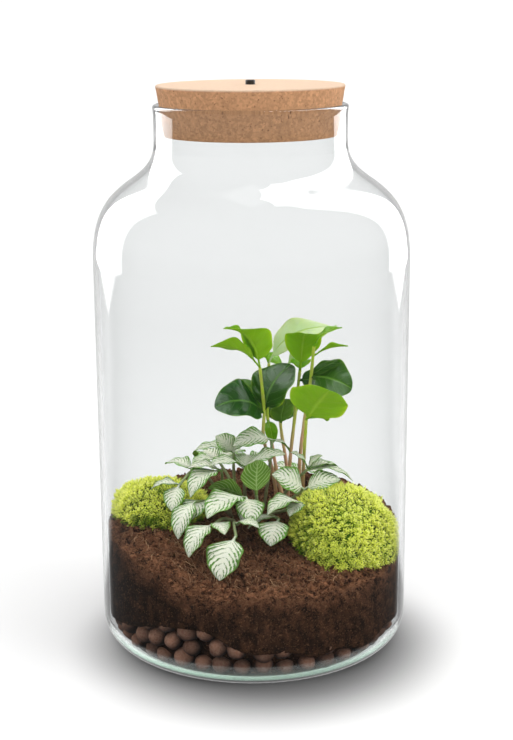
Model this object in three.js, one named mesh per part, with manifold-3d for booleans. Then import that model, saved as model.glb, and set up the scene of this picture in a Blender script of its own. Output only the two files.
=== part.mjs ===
// A closed glass jar garden: a clear jar with a cork stopper, planted with six young coffee plants,
// a clump of nerve plant and three cushions of moss, in soil over a bed of clay pebbles.
// Sizes are in millimetres. The jar stands on z = 0 round the z axis, +Z is up and -Y is its front.

import * as THREE from 'three';
import { mergeVertices } from 'three/addons/utils/BufferGeometryUtils.js';
import Module from 'manifold-3d';

const wasm = await Module();
wasm.setup();

// Driving dimensions

const GAP = 0.35; // clearance between pieces that touch
const ROUND_SIDES = 36; // sides of everything turned round the jar's axis

const JAR = {
  radius: 86.3,
  wall: 3,
  floor: 5,
  footRadius: 73,
  innerFootRadius: 71,
  heelHeight: 16,
  innerHeelHeight: 17,
  shoulderStart: 216,
  bendRadius: 65,
  bendHeight: 260,
  bendSlope: [-0.823, 0.568],
  neckRadius: 52,
  neckStart: 281,
  height: 299.7,
  lip: 1.4,
};

// How far the shoulder's two curves pull at their ends, from the wall up to the neck,
// and the shares of each curve at which it has a point
const SHOULDER = {
  pulls: { wall: 28, belowBend: 14, aboveBend: 12, neck: 9 },
  lowerShares: [0, 0.3, 0.55, 0.78, 1],
  upperShares: [0.35, 0.65, 1],
};
const HEEL_STEPS = 3;
const LIP_STEPS = 4;

const STOPPER = { bottom: 283.3, top: 309.8, bottomRadius: 46.3, topRadius: 50.6, edge: 0.8 };
const STUD = { radius: 2.6, rise: 2.4, depth: 4, edge: 0.5, sides: 14 };

// The soil falls to the front in one smooth step, further back at the right than at the left
const SOIL = {
  middle: 59.5,
  rise: 9.5,
  spread: 28,
  frontLine: -38,
  rightShift: 31,
  leftShift: -25,
  humps: [1.3, 0.9],
  rings: 5,
};

// The side of the bed is raised into rows of stones, each row half a stone on from the one above
const PEBBLES = {
  seed: 11,
  perRow: 29,
  rows: 2,
  top: 23.6,
  bulge: 4.6, // how far a stone stands out of the bed
  unevenness: 0.35, // the most that a point of a stone is lower than that, as a share of it
  faceShares: [0.26, 0.7], // where a stone's face lies in the height of its row
  jitter: { turn: 0.4, height: 0.8 },
};
const STONE_POINTS = 3; // around each stone: one in the dip beside it and two on its face

// Each cushion of moss has its centre on the soil, its two radii and its rise over the soil
const MOSS = {
  seed: 5,
  spike: 2.2,
  foot: 4, // how far the cushion is pressed into the soil
  footTaper: 0.95,
  roundness: 0.8, // below 1 the cushion's side is steeper than a ball's
  lobes: [0.05, 0.03], // how far three wide and five narrow lobes stand out, as a share of the radius
  cushions: [
    { name: 'moss_left', centre: [-54, 3], radii: [28.5, 26], rise: 18, around: 30, rings: 8, turn: 0.4 },
    { name: 'moss_right', centre: [49.5, -21], radii: [30, 28], rise: 32, around: 34, rings: 9, turn: 1.7 },
    { name: 'moss_tuft', centre: [70, 22], radii: [6, 5], rise: 5.5, around: 12, rings: 3, turn: 0.9 },
  ],
};

const BLADE = 0.9; // thickness of every leaf
const STALK = 0.8; // half the width of the stalk that carries a leaf
const STALK_SHARE = 0.12; // the stalk's share of a leaf's length
const ROOT = 12; // how deep a stem stands in the soil
const STEM_SIDES = 5;
const EDGE_LAG = 1.3; // how far one edge's wave runs ahead of the other's, in radians

// A stem's path starts with its foot on the soil and goes on through points above it.
// Each leaf is [place along the stem, azimuth, lift, length, width, arch, roll], in degrees and mm.
// The arch is how high the midrib stands over a straight line, as a share of the length.

const COFFEE = {
  radius: 1.05,
  stems: [
    {
      path: [[14, 12], [11.5, 10.5, 90], [6, 8.5, 112], [6.5, 8, 127], [4.2, -1, 155]],
      seedLeaves: [[0.735, -161, 12, 30, 34, 0.22, -24], [0.735, 32, 54, 32, 34, 0.15, 7]],
      leaves: [[1, 159, 18, 31, 19, 0.15, 39], [1, -153, 48, 33, 35, 0.2, 10]],
    },
    {
      path: [[17, 33], [13, 34, 89], [9.6, 34, 111], [8.6, 34, 119], [9.7, 34, 149]],
      seedLeaves: [[0.63, 150, 48, 29, 20, 0.12, 0], [0.63, -74, -50, 15, 8, 0.1, 0]],
      leaves: [[1, -4, 30, 43, 19, 0.26, 40], [1, 140, 34, 27, 17, 0.12, 0]],
    },
    {
      path: [[22, 42], [19.6, 42, 88], [16.4, 42, 113], [18.7, 43, 142]],
      seedLeaves: [[0.62, -70, 64, 20, 15, 0.06, 0], [0.62, 90, 18, 24, 22, 0.14, 0]],
      leaves: [[1, 12, 38, 41, 11, 0.14, 30], [1, 150, 20, 22, 13, 0.12, 0]],
    },
    {
      path: [[20, 19], [21.4, 18.5, 94], [24.2, 17.5, 121], [27.1, 16, 149]],
      seedLeaves: [[0.93, 8, -10, 15, 15, 0.1, 34]],
      leaves: [[1, -84, 50, 34, 21, 0.2, -8], [1, 84, 4, 16, 12, 0.12, 0]],
    },
    {
      path: [[26, 13], [27, 11.5, 98], [29.5, 9, 122], [32.7, 7, 145], [34.4, 2.5, 166]],
      seedLeaves: [[0.78, -10, -15, 24, 29, 0.12, 32], [0.78, 24, 20, 20, 11, 0.08, 10]],
      leaves: [[0.93, 14, 12, 21, 12, 0.08, -24], [1, -20, 36, 20, 9, 0.13, 16]],
    },
    {
      path: [[28, 8], [29, 5, 100], [29.8, -8, 127]],
      seedLeaves: [[1, -62, 42, 33, 33, 0.05, -33], [1, 40, -14, 16, 14, 0.16, 0]],
      leaves: [],
    },
  ],
};

const NERVE_PLANT = {
  radius: 0.95,
  stems: [
    {
      path: [[-4, 6], [-5, 0, 86], [-4.5, -5, 98.8]],
      leaves: [
        [1, -150, 11, 22, 18, 0.1, 0],
        [1, -16, 21, 25, 16, 0.08, 10],
        [0.86, 84, 18, 16, 13, 0.14, 0],
      ],
    },
    {
      path: [[6, 4], [9, 3, 92], [10.9, 4, 111.5]],
      leaves: [[1, -164, -4, 23, 15, 0.16, -26], [1, 12, -38, 13, 10, 0.14, 0]],
    },
    {
      path: [[-9, 11], [-11, 9, 90], [-11, 6, 103.5]],
      leaves: [
        [1, 167, 42, 14, 14, 0.08, -30],
        [1, 175, 1, 23, 15, 0.14, 0],
        [1, 82, 14, 17, 14, 0.14, 0],
      ],
    },
    {
      path: [[-13, 3], [-17, -1, 87], [-17.6, -11, 98.4]],
      leaves: [[1, -173, 6, 19, 15, 0.12, 0], [1, -143, -28, 24, 18, 0.22, 0]],
    },
    {
      path: [[-4, -2], [-4, -13, 80], [-4, -24, 87]],
      leaves: [
        [1, -143, -14, 27, 24, 0.16, 0],
        [1, -76, -38, 17, 16, 0.14, 0],
        [0.55, -164, -5, 19, 15, 0.12, 50],
        [0.8, 172, 15, 22, 14, 0.15, 60],
        [0.88, -102, -50, 14, 8, 0.1, 0],
      ],
    },
    {
      path: [[-17, 8], [-24, 2, 88], [-33, -8, 98], [-41, -16, 92]],
      leaves: [
        [1, -111, -48, 16, 13, 0.1, 0],
        [1, 178, -10, 16, 12, 0.14, 0],
        [0.7, 152, 4, 18, 14, 0.16, 0],
      ],
    },
    {
      path: [[-6, -9], [-9, -26, 72], [-10.5, -41, 78], [-9.4, -50, 74]],
      leaves: [[1, -120, -48, 26, 22, 0.1, 0], [0.7, -28, 2, 15, 12, 0.14, 0]],
    },
    {
      path: [[2, 1], [2.4, -11, 76], [1.8, -20, 87]],
      leaves: [[1, -75, 79, 22, 17, 0.08, 0]],
    },
    {
      path: [[10, 3], [20, -6, 79], [28.6, -10, 86.5]],
      leaves: [[1, -162, 30, 22, 17, 0.1, -45], [1, 0, 16, 21, 14, 0.14, 32]],
    },
    {
      path: [[13, 6], [22, -1, 87], [31, -6, 97.5]],
      leaves: [
        [1, -176, 45, 14, 12, 0.1, 0],
        [1, 10, 42, 11, 10, 0.1, 0],
        [1, 26, -4, 19, 12, 0.12, 0],
        [0.94, 2, -14, 27, 13, 0.16, 0],
      ],
    },
    {
      path: [[5, -6], [10, -18, 74], [14, -29, 76]],
      leaves: [[1, -112, -42, 17, 18, 0.12, 0], [0.8, -158, -14, 17, 9, 0.16, 0]],
    },
    {
      path: [[-8, 19], [-15, 25, 84], [-20, 29, 91]],
      leaves: [
        [1, 130, -6, 23, 17, 0.18, 0],
        [1, 40, 6, 20, 16, 0.16, 0],
        [1, -150, 2, 18, 15, 0.14, 0],
      ],
    },
    {
      path: [[2, 22], [0, 30, 80], [-1, 36, 87]],
      leaves: [
        [1, 96, -12, 23, 17, 0.18, 0],
        [1, 168, 6, 15, 13, 0.16, 0],
        [1, 50, -4, 19, 15, 0.16, 0],
      ],
    },
    {
      path: [[-12, -3], [-22, -14, 81], [-31.7, -24, 85]],
      leaves: [[1, -122, -44, 24, 14, 0.2, 0], [0.66, -126, -22, 22, 17, 0.18, 0]],
    },
    {
      path: [[-11, -10], [-17, -28, 76], [-21.4, -42, 78]],
      leaves: [[1, -136, -38, 23, 16, 0.2, 0], [0.9, -66, -10, 13, 11, 0.14, 0]],
    },
    {
      path: [[8, -3], [17, -15, 76], [27, -23, 83]],
      leaves: [[1, -152, -8, 22, 18, 0.2, 0], [1, -122, -14, 14, 11, 0.12, 0]],
    },
    {
      path: [[13, 45], [19, 50, 72], [26, 52, 75]],
      leaves: [
        [1, 58, -6, 18, 14, 0.16, 0],
        [1, -8, 4, 18, 14, 0.14, 0],
        [1, 150, 8, 18, 14, 0.14, 0],
      ],
    },
  ],
};

// Colours and finishes

const finish = (color, roughness, more = {}) =>
  new THREE.MeshStandardMaterial({ color, roughness, metalness: 0, ...more });

const LOOKS = {
  glass: finish(0xe8f2ee, 0.05, { transparent: true, opacity: 0.25 }),
  cork: finish(0xcd9b73, 0.85),
  blackPlastic: finish(0x101010, 0.45),
  clay: finish(0x5a3626, 0.8),
  soil: finish(0x4a2f22, 0.95),
  moss: finish(0x7fae1e, 0.9),
  coffeeLeaf: finish(0x4e9410, 0.4),
  nerveLeaf: finish(0xa9c48a, 0.6),
};

// Geometries, solids and meshes

function toSolid(geometry) {
  const bare = geometry.clone();
  bare.deleteAttribute('normal');
  bare.deleteAttribute('uv');
  const joined = mergeVertices(bare);
  const vertProperties = new Float32Array(joined.attributes.position.array);
  const triVerts = new Uint32Array(joined.index.array);
  return new wasm.Manifold(new wasm.Mesh({ numProp: 3, vertProperties, triVerts }));
}

function toGeometry(solid) {
  const mesh = solid.getMesh();
  return fromFaces(mesh.vertProperties, [...mesh.triVerts]);
}

function fromFaces(positions, index) {
  const geometry = new THREE.BufferGeometry();
  geometry.setAttribute('position', new THREE.Float32BufferAttribute(positions, 3));
  geometry.setIndex(index);
  return geometry;
}

// Cutting can leave loose scraps, which are dropped
function largestPiece(solid) {
  return solid.decompose().reduce((best, next) => (next.volume() > best.volume() ? next : best));
}

function namedMesh(name, geometry, look) {
  const mesh = new THREE.Mesh(geometry, look);
  mesh.name = name;
  return mesh;
}

// A seeded sequence of numbers from 0 to 1
function seededNumbers(seed) {
  let state = seed;
  return () => {
    state = (state * 1664525 + 1013904223) % 4294967296;
    return state / 4294967296;
  };
}

// A profile of [radius, height] points carried round the z axis
function turned(profile, sides = ROUND_SIDES) {
  const points = profile.map(([radius, height]) => new THREE.Vector2(radius, height));
  return new THREE.LatheGeometry(points, sides).rotateX(Math.PI / 2);
}

// Part of an ellipse in a profile, between two angles in degrees
function arc(centre, radii, from, to, steps) {
  return Array.from({ length: steps + 1 }, (_, i) => {
    const angle = THREE.MathUtils.degToRad(from + ((to - from) * i) / steps);
    return [centre[0] + radii[0] * Math.cos(angle), centre[1] + radii[1] * Math.sin(angle)];
  });
}

// Closes a round block whose rings of points are listed from its top point to its bottom point
function blockFromRings(positions, around) {
  const last = positions.length / 3 - 1;
  const rings = (last - 1) / around;
  const at = (ring, i) => 1 + ring * around + (i % around);
  const index = [];
  for (let i = 0; i < around; i += 1) {
    index.push(0, at(0, i), at(0, i + 1));
    for (let ring = 0; ring < rings - 1; ring += 1) {
      index.push(at(ring, i), at(ring + 1, i), at(ring + 1, i + 1));
      index.push(at(ring, i), at(ring + 1, i + 1), at(ring, i + 1));
    }
    index.push(last, at(rings - 1, i + 1), at(rings - 1, i));
  }
  return toSolid(fromFaces(positions, index));
}

// Jar: the shoulder is two curves that meet at its bend, and the wall is as thick all the way up

const innerRadius = JAR.radius - JAR.wall;
const neckInner = JAR.neckRadius - JAR.wall + GAP;

function shoulder(inset) {
  const { pulls, lowerShares, upperShares } = SHOULDER;
  const bend = new THREE.Vector2(JAR.bendRadius, JAR.bendHeight);
  const slope = new THREE.Vector2(...JAR.bendSlope);
  const start = new THREE.Vector2(JAR.radius, JAR.shoulderStart);
  const end = new THREE.Vector2(JAR.neckRadius, JAR.neckStart);
  const lower = new THREE.CubicBezierCurve(
    start,
    new THREE.Vector2(start.x, start.y + pulls.wall),
    bend.clone().addScaledVector(slope, -pulls.belowBend),
    bend,
  );
  const upper = new THREE.CubicBezierCurve(
    bend,
    bend.clone().addScaledVector(slope, pulls.aboveBend),
    new THREE.Vector2(end.x, end.y - pulls.neck),
    end,
  );
  const places = [
    ...lowerShares.map((share) => [lower, share]),
    ...upperShares.map((share) => [upper, share]),
  ];
  return places.map(([curve, share]) => {
    const point = curve.getPoint(share);
    const along = curve.getTangent(share);
    return [point.x - along.y * inset, point.y + along.x * inset];
  });
}

// The inside of the heel, with a clearance for what fills the jar
function cavityHeel(clearance) {
  const reach = innerRadius - JAR.innerFootRadius;
  const height = JAR.innerHeelHeight - JAR.floor;
  const heel = arc([JAR.innerFootRadius, JAR.innerHeelHeight], [reach, height], -90, 0, HEEL_STEPS);
  return heel.map(([radius, z]) => [radius - clearance, z + clearance]);
}

function makeJar() {
  const lipWidth = (JAR.neckRadius - neckInner) / 2;
  const heelWidth = JAR.radius - JAR.footRadius;
  const inside = shoulder(JAR.wall).reverse();
  const profile = [
    [0, 0],
    ...arc([JAR.footRadius, JAR.heelHeight], [heelWidth, JAR.heelHeight], -90, 0, HEEL_STEPS),
    ...shoulder(0),
    ...arc([neckInner + lipWidth, JAR.height - JAR.lip], [lipWidth, JAR.lip], 0, 180, LIP_STEPS),
    ...inside.map(([radius, height]) => [Math.max(radius, neckInner), height]),
    ...cavityHeel(0).reverse(),
    [0, JAR.floor],
  ];
  return namedMesh('jar', turned(profile), LOOKS.glass);
}

// Everything that fills the jar is kept inside this solid
function filling(top) {
  const outline = [[0, JAR.floor + GAP], ...cavityHeel(GAP), [innerRadius - GAP, top], [0, top]];
  return toSolid(turned(outline));
}

// Stopper: a cone with broken edges, and a blind hole for the stud in the middle of its top

function makeStopper() {
  const { bottom, top, bottomRadius, topRadius, edge } = STOPPER;
  const outline = [
    [0, bottom],
    [bottomRadius - edge, bottom],
    [bottomRadius, bottom + edge],
    [topRadius, top - edge],
    [topRadius - edge, top],
    [0, top],
  ];
  const holeRadius = STUD.radius + GAP;
  const holeFloor = top - STUD.depth;
  const hole = [[0, holeFloor], [holeRadius, holeFloor], [holeRadius, top + edge], [0, top + edge]];
  const body = toSolid(turned(outline)).subtract(toSolid(turned(hole, STUD.sides)));
  return namedMesh('stopper', toGeometry(body), LOOKS.cork);
}

function makeStud() {
  const bottom = STOPPER.top - STUD.depth + GAP;
  const top = STOPPER.top + STUD.rise;
  const outline = [
    [0, bottom],
    [STUD.radius, bottom],
    [STUD.radius, top - STUD.edge],
    [STUD.radius - STUD.edge, top],
    [0, top],
  ];
  return namedMesh('stopper_stud', turned(outline, STUD.sides), LOOKS.blackPlastic);
}

// Pebbles: a round bed with a flat top, its side a relief of stones

// How far from the axis the clear space inside the jar reaches at a height
function clearRadius(height) {
  const heel = cavityHeel(GAP);
  const above = heel.findIndex(([, z]) => z > height);
  if (above < 1) return innerRadius - GAP;
  const [[r0, z0], [r1, z1]] = heel.slice(above - 1, above + 1);
  return r0 + ((r1 - r0) * (height - z0)) / (z1 - z0);
}

function makePebbles() {
  const random = seededNumbers(PEBBLES.seed);
  const { perRow, rows, top, bulge, unevenness, faceShares, jitter } = PEBBLES;
  const around = STONE_POINTS * perRow;
  const bottom = JAR.floor + GAP;
  const positions = [0, 0, top];
  const addRing = (level, shift, raised) => {
    for (let i = 0; i < around; i += 1) {
      const stand = raised && i % STONE_POINTS > 0 ? 1 - unevenness * random() : 0;
      const place = i + STONE_POINTS * shift + jitter.turn * (random() - 0.5);
      const angle = (place / around) * 2 * Math.PI;
      const height = raised ? level + jitter.height * (random() - 0.5) : level;
      const radius = clearRadius(height) - GAP - bulge * (1 - stand);
      positions.push(radius * Math.cos(angle), radius * Math.sin(angle), height);
    }
  };
  const rowHeight = (top - bottom) / rows;
  addRing(top, 0, false);
  for (let row = 0; row < rows; row += 1) {
    const start = top - row * rowHeight;
    faceShares.forEach((share) => addRing(start - share * rowHeight, row / 2, true));
    addRing(start - rowHeight, row / 2 + 1 / 4, false);
  }
  positions.push(0, 0, bottom);
  return namedMesh('pebbles', toGeometry(blockFromRings(positions, around)), LOOKS.clay);
}

// Soil: one smooth step with two sizes of hump, on rings round the axis

function soilHeight(x, y) {
  const right = SOIL.rightShift * THREE.MathUtils.smoothstep(x, 10, 70);
  const left = SOIL.leftShift * THREE.MathUtils.smoothstep(-x, 20, 60);
  const step = Math.tanh((y - SOIL.frontLine - right - left) / SOIL.spread);
  const broad = SOIL.humps[0] * Math.sin(x / 11 + 1) * Math.cos(y / 13);
  const fine = SOIL.humps[1] * Math.sin(x / 5.3) * Math.sin(y / 6.1 + 0.5);
  return SOIL.middle + SOIL.rise * step + broad + fine;
}

function soilBlock() {
  const positions = [0, 0, soilHeight(0, 0)];
  const addRing = (radius, height) => {
    for (let i = 0; i < ROUND_SIDES; i += 1) {
      const angle = (i / ROUND_SIDES) * 2 * Math.PI;
      const [x, y] = [radius * Math.cos(angle), radius * Math.sin(angle)];
      positions.push(x, y, height(x, y));
    }
  };
  const radius = innerRadius - GAP;
  for (let ring = 1; ring <= SOIL.rings; ring += 1) {
    addRing((radius * ring) / SOIL.rings, soilHeight);
  }
  const floor = PEBBLES.top + GAP;
  addRing(radius, () => floor);
  positions.push(0, 0, floor);
  return blockFromRings(positions, ROUND_SIDES);
}

// A plain straight hole where a stem stands
function stemHole([x, y], radius) {
  const hole = new THREE.CylinderGeometry(radius + GAP, radius + GAP, 2 * (ROOT + GAP), STEM_SIDES);
  hole.rotateX(Math.PI / 2);
  hole.translate(x, y, soilHeight(x, y));
  return toSolid(hole);
}

function makeSoil() {
  const cushions = MOSS.cushions.map((cushion) => mossCushion(cushion, GAP));
  const holes = [COFFEE, NERVE_PLANT].flatMap((plant) =>
    plant.stems.map((stem) => stemHole(stem.path[0], plant.radius)),
  );
  const cut = [...cushions, ...holes].reduce((body, tool) => body.subtract(tool), soilBlock());
  return namedMesh('soil', toGeometry(largestPiece(cut)), LOOKS.soil);
}

// Moss: a dome covered with points of uneven height, and a foot pressed into the soil.
// With a clearance it gives the room that the soil leaves for it, which holds every point.

function mossCushion({ centre, radii, rise, around, rings, turn }, clearance = 0) {
  const random = seededNumbers(MOSS.seed);
  const [wide, narrow] = MOSS.lobes;
  const [cx, cy] = centre;
  const base = soilHeight(cx, cy);
  const core = radii.map((radius) => radius - MOSS.spike);
  const positions = [cx, cy, base + rise + clearance];
  for (let ring = 1; ring <= rings; ring += 1) {
    const tilt = (ring / rings) * (Math.PI / 2);
    const out = Math.sin(tilt) ** MOSS.roundness;
    for (let i = 0; i < around; i += 1) {
      const angle = (i / around) * 2 * Math.PI;
      const lobes = 1 + wide * Math.sin(3 * angle + turn) + narrow * Math.sin(5 * angle + 2 * turn);
      const point = MOSS.spike * (clearance > 0 ? 1 : random());
      const reach = core.map((radius) => out * (radius * lobes + point + clearance));
      const [x, y] = [cx + reach[0] * Math.cos(angle), cy + reach[1] * Math.sin(angle)];
      const ground = soilHeight(cx + core[0] * out * Math.cos(angle), cy + core[1] * out * Math.sin(angle));
      const height = (rise - MOSS.spike + point + clearance) * Math.cos(tilt);
      positions.push(x, y, base + (ground - base) * out + height);
    }
  }
  const foot = positions.slice(-3 * around);
  const depth = MOSS.foot + 3 * clearance;
  for (let i = 0; i < around; i += 1) {
    const [x, y, z] = foot.slice(3 * i, 3 * i + 3);
    positions.push(cx + MOSS.footTaper * (x - cx), cy + MOSS.footTaper * (y - cy), z - depth);
  }
  positions.push(cx, cy, base - depth);
  return blockFromRings(positions, around);
}

function makeMoss(cushion) {
  const kept = largestPiece(mossCushion(cushion).intersect(filling(JAR.shoulderStart)));
  return namedMesh(cushion.name, toGeometry(kept), LOOKS.moss);
}

// Leaves: each is one thin blade on a grid, with its stalk as the narrow start of the grid.
// The width is given as a share of the leaf's width, from where the stalk ends to the tip.

const LEAF_SHAPES = {
  coffeeSeedLeaf: {
    rows: 6,
    columns: 4,
    fold: 0.1,
    wave: 0.06,
    waves: 2.2,
    width: (u) => Math.sin(Math.PI * u ** 0.8) ** 0.5,
  },
  coffeeLeaf: {
    rows: 6,
    columns: 4,
    fold: 0.28,
    wave: 0.12,
    waves: 2,
    width: (u) => Math.sin(Math.PI * u ** 0.8) ** 0.8 * (1 - 0.35 * u ** 5),
  },
  nerveLeaf: {
    rows: 6,
    columns: 2,
    fold: 0.22,
    wave: 0.1,
    waves: 2.5,
    width: (u) => Math.sin(Math.PI * u ** 0.8) ** 0.7,
  },
};

// Half the width at a place along the leaf, stalk and blade together
function halfWidth(width, shape, u) {
  const blade = Math.max(0, (u - STALK_SHARE) / (1 - STALK_SHARE));
  const stalk = u < 1 ? STALK : 0;
  return Math.max(stalk, (width / 2) * shape.width(Math.min(blade, 1)));
}

// The three directions of a leaf: along it, across it, and out of its upper face
function leafDirections(azimuth, lift, roll) {
  const [a, e, r] = [azimuth, lift, roll].map(THREE.MathUtils.degToRad);
  const along = new THREE.Vector3(Math.cos(a) * Math.cos(e), Math.sin(a) * Math.cos(e), Math.sin(e));
  const across = new THREE.Vector3(-Math.sin(a), Math.cos(a), 0).applyAxisAngle(along, r);
  return { along, across, out: along.clone().cross(across) };
}

// A point of the blade: u runs from base to tip, v from edge to edge and depth out of the upper face
function leafPoint(base, leaf, shape, u, v, depth) {
  const [, azimuth, lift, length, width, arch, roll] = leaf;
  const { along, across, out } = leafDirections(azimuth, lift, roll);
  const half = halfWidth(width, shape, u);
  const ripple = shape.wave * v * v * Math.sin(2 * Math.PI * shape.waves * u + (v > 0 ? 0 : EDGE_LAG));
  const height = 4 * arch * length * u * (1 - u) + half * (shape.fold * Math.abs(v) + ripple);
  return base
    .clone()
    .addScaledVector(along, length * u)
    .addScaledVector(across, half * v)
    .addScaledVector(out, height + depth);
}

function leafBlade(base, leaf, shape) {
  const { rows, columns } = shape;
  const firstRow = 0.6; // the first row of the blade is close to the stalk, where it widens fast
  const perLayer = rows * (columns + 1) + 1;
  const places = [0, STALK_SHARE];
  for (let i = 0; i < rows - 2; i += 1) {
    places.push(STALK_SHARE + ((1 - STALK_SHARE) * (i + firstRow)) / (rows - 2 + firstRow));
  }
  const positions = [BLADE / 2, -BLADE / 2].flatMap((depth) => [
    ...places.flatMap((u) =>
      Array.from({ length: columns + 1 }, (_, j) => [
        ...leafPoint(base, leaf, shape, u, (2 * j) / columns - 1, depth),
      ]).flat(),
    ),
    ...leafPoint(base, leaf, shape, 1, 0, depth),
  ]);
  const tip = perLayer - 1;
  const at = (i, j) => (i === rows ? tip : i * (columns + 1) + j);
  const index = [];
  const addFace = (a, b, c) => index.push(a, b, c, perLayer + a, perLayer + c, perLayer + b);
  const addRim = (a, b) => index.push(perLayer + a, perLayer + b, b, perLayer + a, b, a);
  for (let i = 0; i < rows; i += 1) {
    for (let j = 0; j < columns; j += 1) {
      addFace(at(i, j), at(i + 1, j), at(i, j + 1));
      if (i < rows - 1) addFace(at(i + 1, j), at(i + 1, j + 1), at(i, j + 1));
    }
    addRim(at(i, 0), at(i + 1, 0));
    addRim(at(i + 1, columns), at(i, columns));
  }
  for (let j = 0; j < columns; j += 1) {
    addRim(at(0, j + 1), at(0, j));
  }
  return toSolid(fromFaces(positions, index));
}

// Stems: a round rod that stands straight in its hole and then follows its path

function stemPoints(path) {
  const [[x, y], ...rest] = path;
  const ground = soilHeight(x, y);
  const straight = [ground - ROOT, ground + 1].map((z) => new THREE.Vector3(x, y, z));
  return [...straight, ...rest.map((point) => new THREE.Vector3(...point))];
}

function rod(points, radius, steps) {
  const corners = Array.from({ length: STEM_SIDES }, (_, i) => {
    const angle = (i / STEM_SIDES) * 2 * Math.PI;
    return new THREE.Vector2(radius * Math.cos(angle), radius * Math.sin(angle));
  });
  const extrudePath = new THREE.CatmullRomCurve3(points);
  const options = { steps, extrudePath, bevelEnabled: false };
  return toSolid(new THREE.ExtrudeGeometry(new THREE.Shape(corners), options));
}

// Place 0 is where the stem leaves the ground and place 1 is its tip
function leafBase(path, place) {
  return new THREE.CatmullRomCurve3(stemPoints(path).slice(1)).getPoint(place);
}

function makeLeafyStem(name, stem, radius, shape, look) {
  const { path, leaves, seedLeaves = [] } = stem;
  const [straight, ...rising] = stemPoints(path);
  const foot = rod([straight, rising[0]], radius, 1);
  const shoot = rod(rising, radius, 2 * (rising.length - 1));
  const blades = [
    ...seedLeaves.map((leaf) => leafBlade(leafBase(path, leaf[0]), leaf, LEAF_SHAPES.coffeeSeedLeaf)),
    ...leaves.map((leaf) => leafBlade(leafBase(path, leaf[0]), leaf, shape)),
  ];
  const whole = blades.reduce((body, blade) => body.add(blade), foot.add(shoot));
  return namedMesh(name, toGeometry(largestPiece(whole)), look);
}

// The whole garden

const garden = new THREE.Group();
garden.add(makeJar(), makeStopper(), makeStud(), makePebbles(), makeSoil());
MOSS.cushions.forEach((cushion) => garden.add(makeMoss(cushion)));
COFFEE.stems.forEach((stem, i) => {
  const name = `coffee_plant_${i + 1}`;
  garden.add(makeLeafyStem(name, stem, COFFEE.radius, LEAF_SHAPES.coffeeLeaf, LOOKS.coffeeLeaf));
});
NERVE_PLANT.stems.forEach((stem, i) => {
  const name = `nerve_plant_stem_${i + 1}`;
  garden.add(makeLeafyStem(name, stem, NERVE_PLANT.radius, LEAF_SHAPES.nerveLeaf, LOOKS.nerveLeaf));
});

export default garden;
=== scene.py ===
"""Dresses a closed plant jar: clear glass and cork, coffee seedlings, nerve plant and moss on soil.

Lengths in this file are in millimetres, round the jar's axis with +Z up and -Y to the front, and are
turned into metres when a mesh is made.
"""

import math

import bpy
import numpy as np
from bpy.props import FloatProperty, FloatVectorProperty, IntProperty, PointerProperty
from bpy.types import Operator, Panel, PropertyGroup
from mathutils import Matrix, Vector


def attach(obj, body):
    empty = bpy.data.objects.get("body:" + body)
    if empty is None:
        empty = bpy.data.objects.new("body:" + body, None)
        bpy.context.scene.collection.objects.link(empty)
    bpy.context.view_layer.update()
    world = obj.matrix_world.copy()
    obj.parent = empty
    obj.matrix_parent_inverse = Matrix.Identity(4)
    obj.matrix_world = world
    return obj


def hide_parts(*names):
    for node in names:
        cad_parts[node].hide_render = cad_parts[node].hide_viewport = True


bl_info = {
    "name": "Plant Jar",
    "version": (1, 0, 0),
    "blender": (4, 5, 0),
    "location": "View3D > Sidebar > Plant Jar",
    "description": "Builds the finished surfaces of a closed jar garden over its packed solids",
    "category": "Object",
}

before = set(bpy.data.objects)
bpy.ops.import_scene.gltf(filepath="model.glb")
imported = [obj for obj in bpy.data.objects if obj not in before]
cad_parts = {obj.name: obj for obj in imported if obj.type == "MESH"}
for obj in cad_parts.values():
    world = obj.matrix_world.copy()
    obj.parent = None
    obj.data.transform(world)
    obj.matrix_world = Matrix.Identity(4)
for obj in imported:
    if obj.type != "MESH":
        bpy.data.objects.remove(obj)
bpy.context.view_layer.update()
MM = 0.001
TAU = 2 * math.pi

# The jar and its stopper

JAR = {
    "radius": 86.3,
    "wall": 3.0,
    "floor": 4.2,
    "foot": 73.0,
    "heel": 16.0,
    "inner_foot": 75.0,
    "inner_heel": 17.0,
    "shoulder": (86.3, 216.0),
    "bend": (65.0, 260.0),
    "bend_slope": (-0.823, 0.568),
    "neck": (52.0, 281.0),
    "pulls": (28.0, 14.0, 12.0, 9.0),
    "top": 299.7,
    "lip": 1.5,
    "bead": 0.5,
}

# The clear space between pieces that lie side by side

GAP = 0.35
INNER_RADIUS = JAR["radius"] - JAR["wall"]
INNER_NECK = JAR["neck"][0] - JAR["wall"] + GAP
STOPPER = {"bottom": 283.3, "top": 309.8, "bottom_radius": 46.3, "top_radius": 50.6, "edge": 0.8}
STUD = {"radius": 2.6, "rise": 2.4, "depth": 4.0, "edge": 0.5}

# Pebbles lie in rows along the glass, and in one layer on the floor behind them. Their radii lie between
# two limits. At the glass they reach a level, with a heap and a dip, each by its azimuth in degrees, its
# width in radians and its height.

PEBBLES = {
    "rows": (10.4, 19.8, 28.4),
    "in_row": 42,
    "row_radii": (5.0, 6.4),
    "layer": 10.9,
    "layer_radii": (5.0, 5.9),
    "layer_reach": 63.0,
    "spacing": 12.0,
    "kinds": 8,
    "level": 16.5,
    "heap": (-118, 0.38, 12.0),
    "dip": (-45, 0.4, 4.0),
}

# The soil falls to the front in one smooth step, further back at the right than at the left. Under the
# pebbles' level it keeps back from the glass.

SOIL = {
    "middle": 59.5,
    "rise": 9.5,
    "spread": 28.0,
    "front_line": -38.0,
    "right_shift": 31.0,
    "left_shift": -25.0,
    "humps": (1.3, 0.9),
    "kept_back": 6.5,
    "radius": INNER_RADIUS - GAP - 0.1,
    "bottom": JAR["floor"] + 0.6,
}

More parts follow.
